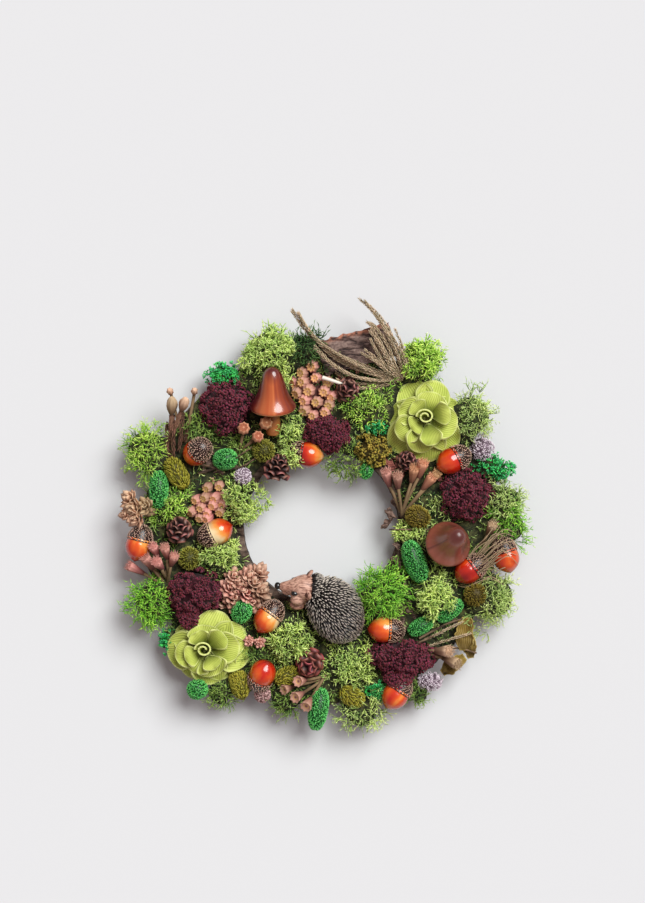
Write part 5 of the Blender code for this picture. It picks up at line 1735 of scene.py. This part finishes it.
# Small things tucked in between the larger ones. Single buds: their foot, size, kind and heads.
extraBuds = {
    "roundHeads": ((-60, 58), 1.05, "urn", ((-58, 73, 12), (-48, 67, 11), (-42, 77, 13))),
    "lowerHeads": ((-50, -88), 0.8, "frayed", ((-54, -86, 6), (-46, -86.5, 7))),
    "ochreHeads": ((61, 9), 1.1, "brush", ((69, 39, 10), (75, 43, 12), (80, 33, 8), (84, 36, 7))),
    "rightHead": ((118, -15), 1.15, "brush", ((127, -2, 9),)),
    "smallPods": ((-104, 66), 0.6, "pod", ((-113, 101, 8), (-95, 101, 9))),
}
# Kind, place, half length, radius, heading and rise
extraOvals = {
    "oliveSprig1": ("olive", (-26, -112.5), 9.5, 6, 25, 5),
    "oliveSprig2": ("olive", (-62, -118), 9, 5.5, 110, 5),
    "emeraldSprig1": ("emerald", (34, 42), 6, 4.5, 250, 0),
    "emeraldSprig2": ("emerald", (46, -124), 8, 5, 200, 5),
}
duskyFinish = growthFinish("duskyFloret", (70, 40, 38), (158, 116, 112), (214, 178, 172), roughness=0.85)
extraGlobes = {"lilacFlower1": ((-59, 38), 6.5, 6, lilacFinish),
               "lilacFlower2": ((-44, -126), 6, 7, duskyFinish)}
# Radius, then the lines; the ears have a finish and the size of a husk before their lines
twigs = {
    "twigs1": (0.9, ((-96, 49, 5), (-78, 44, 8), (-60, 45, 9), (-45, 55, 8)),
               ((-92, 40, 4), (-72, 47, 9), (-52, 60, 10)), ((-84, 56, 4), (-70, 50, 8), (-54, 38, 6))),
    "twigs2": (0.8, ((72, -88, 6), (88, -80, 10), (104, -72, 11)),
               ((74, -84, 5), (92, -74, 9), (106, -69, 9)), ((86, -92, 5), (102, -91, 8), (117, -95, 6))),
    "twigs3": (0.7, ((84, -2, 3), (66, -2, 8), (51, -2, 7))),
    "twigs4": (0.8, ((64, -34, 3), (62, -48, 5), (58, -62, 4)), ((66, -56, 3), (56, -72, 5), (48, -80, 3))),
}
dryEars = {
    "brownStems": (brownFinish, 0.8, ((-111, 84, 8), (-111, 68, 9), (-111, 53, 7)),
                   ((-103.5, 86, 9), (-105, 70, 9), (-107, 57, 6)),
                   ((-96, 95, 7), (-99, 80, 8), (-103, 64, 6)),
                   ((-116, 78, 4), (-116, 64, 5), (-114, 52, 4))),
    "dryStems": (grassFinish, 0.5, ((76, -86, 6), (92, -78, 11), (106, -71, 12)),
                 ((80, -90, 6), (98, -84, 11), (112, -80, 10))),
}
dryWisps = (((104, -38, 1), (112, -30, 13), (123, -17, 19), (134, -8, 22), (142, -10, 18)),
            ((104, -40, 1), (113, -33, 13), (124, -22, 20), (135, -13, 23), (143, -17, 16)),
            ((105, -42, 1), (114, -36, 12), (126, -27, 19), (136, -19, 22), (144, -25, 12)),
            ((106, -44, 1), (113, -42, 8), (122, -34, 14), (132, -27, 19), (139, -28, 15)),
            ((102, -42, 1), (109, -41, 8), (118, -37, 13), (128, -34, 15), (135, -37, 11)),
            ((103, -34, 1), (110, -27, 12), (118, -18, 16), (126, -12, 19), (133, -4, 17)))
twigFinish = makeBarkFinish("twigBark", (48, 34, 26), (104, 82, 62), (150, 124, 98))


def makeTwigs(name, thick, *lines, finish=twigFinish, slotName="bark", strands=1, apart=0.0, seed=0):
    runs = [smoothLine(line, 5) for line in looseLines(random.Random(seed), lines, strands, apart)]
    dress(makeLines(name, runs, thick * 1.2, thick * 0.7), finish, slotName)


def makeGlobe(name, at, radius, above, finish):
    chance = random.Random(len(name))
    middle = spot(*at, standHeight + above)
    half = Vector((radius, radius, radius * 0.8)) * mm
    spots = [(0, stood(middle + scaled(ball, half), ball, chance.uniform(0.5, 0.8)), chance.random(),
              chance.uniform(0.4, 1)) for ball in spreadBalls(260, chance, -0.3, 0.6)]
    dress(covered(name, makeCore(name, middle, half * 0.95), crumbForm, spots), finish, "globe_florets")


for seed, (name, (root, size, kind, heads)) in enumerate(extraBuds.items(), 90):
    makeSpray(name, root, size, kind, heads, seed, lift=0.3 if kind == "brush" else 2.5)
for seed, (name, (kind, at, half, radius, heading, rise)) in enumerate(extraOvals.items(), 70):
    makeOval(name, kind, spot(*at, standHeight + radius + 1), half, radius, heading, rise, seed)
for name, look in extraGlobes.items():
    makeGlobe(name, *look)
for name, look in twigs.items():
    makeTwigs(name, *look)
for seed, (name, (finish, size, *lines)) in enumerate(dryEars.items(), 60):
    makeEars(name, lines, size, seed, finish=finish)
makeTwigs("dryWisps", 0.34, *dryWisps, finish=grassFinish, slotName="dry_grass", strands=5, apart=5.0, seed=8)


# Curled ribbed leaves at the rim: place, heading, length, half-width, height
curledLeaves = {"curledLeaf1": ((107, -93), 84, 25, 7.5, 6), "curledLeaf2": ((91, -110), 36, 21, 5.5, 4),
                "curledLeaf3": ((113, -99), 98, 22, 5, 2)}
leafFinish = makeRibbedFinish("curledLeaf", (136, 110, 40), (168, 140, 62), (82, 62, 22), (96, 76, 28),
                              (196, 172, 96), 9, 0.85)
leafLook = dict(across=36, along=20, ragged=0.3, cupped=0.34, wave=0.9, arch=1.6, crumple=3.2, rib=0.35,
                thick=0.6)


def makeLeaf(name, at, heading, long, half, above):
    leaf = gridPiece(name, leafLook["across"], leafLook["along"])
    flat = pointsOf(leaf)
    across, along = flat[:, 0], (flat[:, 1] + 1) / 2
    cells = list(zip(across, along))
    ragged = np.array([noise.noise(Vector((a * 9, math.copysign(2, c), half))) for c, a in cells])
    crumple = np.array([noise.noise(Vector((c * 1.6, a * 4, half * 3))) for c, a in cells])
    wide = half * (0.25 + 0.75 * np.sin(np.pi * (0.08 + 0.84 * along))) * (1 + leafLook["ragged"] * ragged)
    rise = (leafLook["cupped"] * half * across ** 2 + leafLook["wave"] * np.sin(along * 10 + across * 2)
            + leafLook["arch"] * np.sin(np.pi * along) + leafLook["crumple"] * crumple
            + leafLook["rib"] * np.cos(across * 9 * math.pi))
    setPoints(leaf, np.stack([long * along, across * wide, rise + above], 1) * mm)
    markRim(leaf, flat, 0.92, 12)
    thickened(leaf, leafLook["thick"])
    leaf.data.transform(Matrix.Translation(spot(*at, standHeight)) @ turnAbout("Z", heading))
    bpy.ops.object.shade_smooth()
    dress(leaf, leafFinish, "dry_grass")


for name, look in curledLeaves.items():
    makeLeaf(name, *look)

# Chips of bark in the gaps, as (x, y, above, size) in mm
chips = {
    "barkChips": ((58, -29, 3, 7), (55, -24, 2, 5), (66, -61, 3, 8), (70, -66, 2, 6), (60, -70, 3, 6),
                  (31, -133, 0, 6), (52, 10, 1, 8), (56, 18, 1, 7), (49, 2, 1, 7), (57, -14, 1, 6),
                  (-66, 104, 2, 7), (-60, 112, 1, 8), (-71, -100, 2, 5), (-60, -62, 3, 6), (64, -76, 3, 7),
                  (20, -88, 3, 5), (-4, -78, 3, 5), (-83, 48, 4, 6), (-88, 43, 4, 5), (-76, 41, 4, 6),
                  (100, -70, 4, 6), (-56, -101, 3, 7)),
    "redChips": ((20, 122, 5, 6), (27, 116, 6, 5), (33, 121, 6, 6), (40, 116, 7, 5), (46, 112, 7, 6),
                 (14, 113, 6, 5), (53, 46, 5, 7), (49, 49, 4, 6), (57, 52, 4, 5), (60, 40, 4, 5),
                 (86, 42, 6, 5), (90, 36, 5, 5), (25, 107, 6, 5), (37, 108, 6, 6)),
}
chipFinishes = {"barkChips": makeBarkFinish("chipBark", (52, 38, 32), (112, 86, 74), (158, 132, 118), 200.0),
                "redChips": makeBarkFinish("redBark", (72, 32, 28), (142, 76, 66), (190, 124, 108), 200.0)}


def makeChipForm(seed):
    chip = cutCube("chip", (1, 1, 1), 3)
    points = [Vector(point) / mm for point in pointsOf(chip)]
    points = [p * (0.9 + 0.7 * noise.noise(p * 2.1 + Vector((seed * 3.0, 0, 0)))) for p in points]
    setPoints(chip, np.array([(p.x * 1.1, p.y * 0.6, p.z * 0.35) for p in points]) * mm)
    return takeForm(chip)


chipForms = [makeChipForm(seed) for seed in range(3)]
for seed, (name, places) in enumerate(chips.items(), 30):
    chance = random.Random(seed)
    spots = []
    for x, y, above, size in places:
        way = (skyward + randomWay(chance) * 0.6).normalized()
        which = chance.randrange(len(chipForms))
        spots.append(anyCopy(chance, which, spot(x, y, standHeight + above), way, size))
    dress(copies(name, chipForms, spots, smooth=False), chipFinishes[name], "bark")
ivoryLine = smoothLine([spot(1, 112, standHeight + 15), spot(9, 109.5, standHeight + 15),
                        spot(18, 106.5, standHeight + 12)], 4)
dress(makeLines("ivoryStick", [ivoryLine], 1.6, 1.0), plainFinish("ivory", (236, 226, 212), 0.6), "bark")
print("small things made")


# The floor, the light and a camera that looks straight down from far away: the place in its middle,
# the mm of one pixel, its distance, the height in focus, and its sensor's mm over the picture's rows
viewLook = dict(middle=(1.1, 56.6), scale=0.75, away=2200, focus=30, sensor=36, rows=903)
sunLook = dict(direction=(0.5, 0.58, 1.0), angle=38, strength=3.74, colour=(0.965, 1.005, 0.995))
roomLook = dict(colour=(1.0, 0.84, 0.88, 1), strength=0.33)


def makeFloor():
    clearSelection()
    bpy.ops.mesh.primitive_plane_add(size=6, location=(0, 0, 0))
    floor = namedPiece("paleFloor")
    floor.data.materials.append(plainFinish("paleFloor", (215, 215, 216), 0.9, Specular_IOR_Level=0.1))


def makeSun(direction, angle, strength, colour):
    clearSelection()
    bpy.ops.object.light_add(type="SUN", location=Vector(direction) * 2)
    sun = bpy.context.object
    sun.name = "keyLight"
    sun.data.angle = math.radians(angle)
    sun.data.energy = strength
    sun.data.color = colour
    sun.rotation_euler = (-Vector(direction)).to_track_quat("-Z", "Y").to_euler()


def makeRoom(colour, strength):
    world = bpy.data.worlds.new("softRoom")
    world.use_nodes = True
    background = world.node_tree.nodes["Background"]
    background.inputs["Color"].default_value = colour
    background.inputs["Strength"].default_value = strength
    bpy.context.scene.world = world


def makeCamera(middle, scale, away, focus, sensor, rows):
    data = bpy.data.cameras.new("overhead")
    data.sensor_fit = "AUTO"
    data.sensor_width = sensor
    away = away * mm
    data.lens = sensor * away / (rows * scale * mm)
    camera = linkedPiece("overhead", data)
    camera.location = spot(*middle, focus) + Vector((0, 0, away))
    bpy.context.scene.camera = camera


makeFloor()
makeSun(**sunLook)
makeRoom(**roomLook)
bpy.context.scene.view_settings.view_transform = "Standard"
makeCamera(**viewLook)
print("stage made")
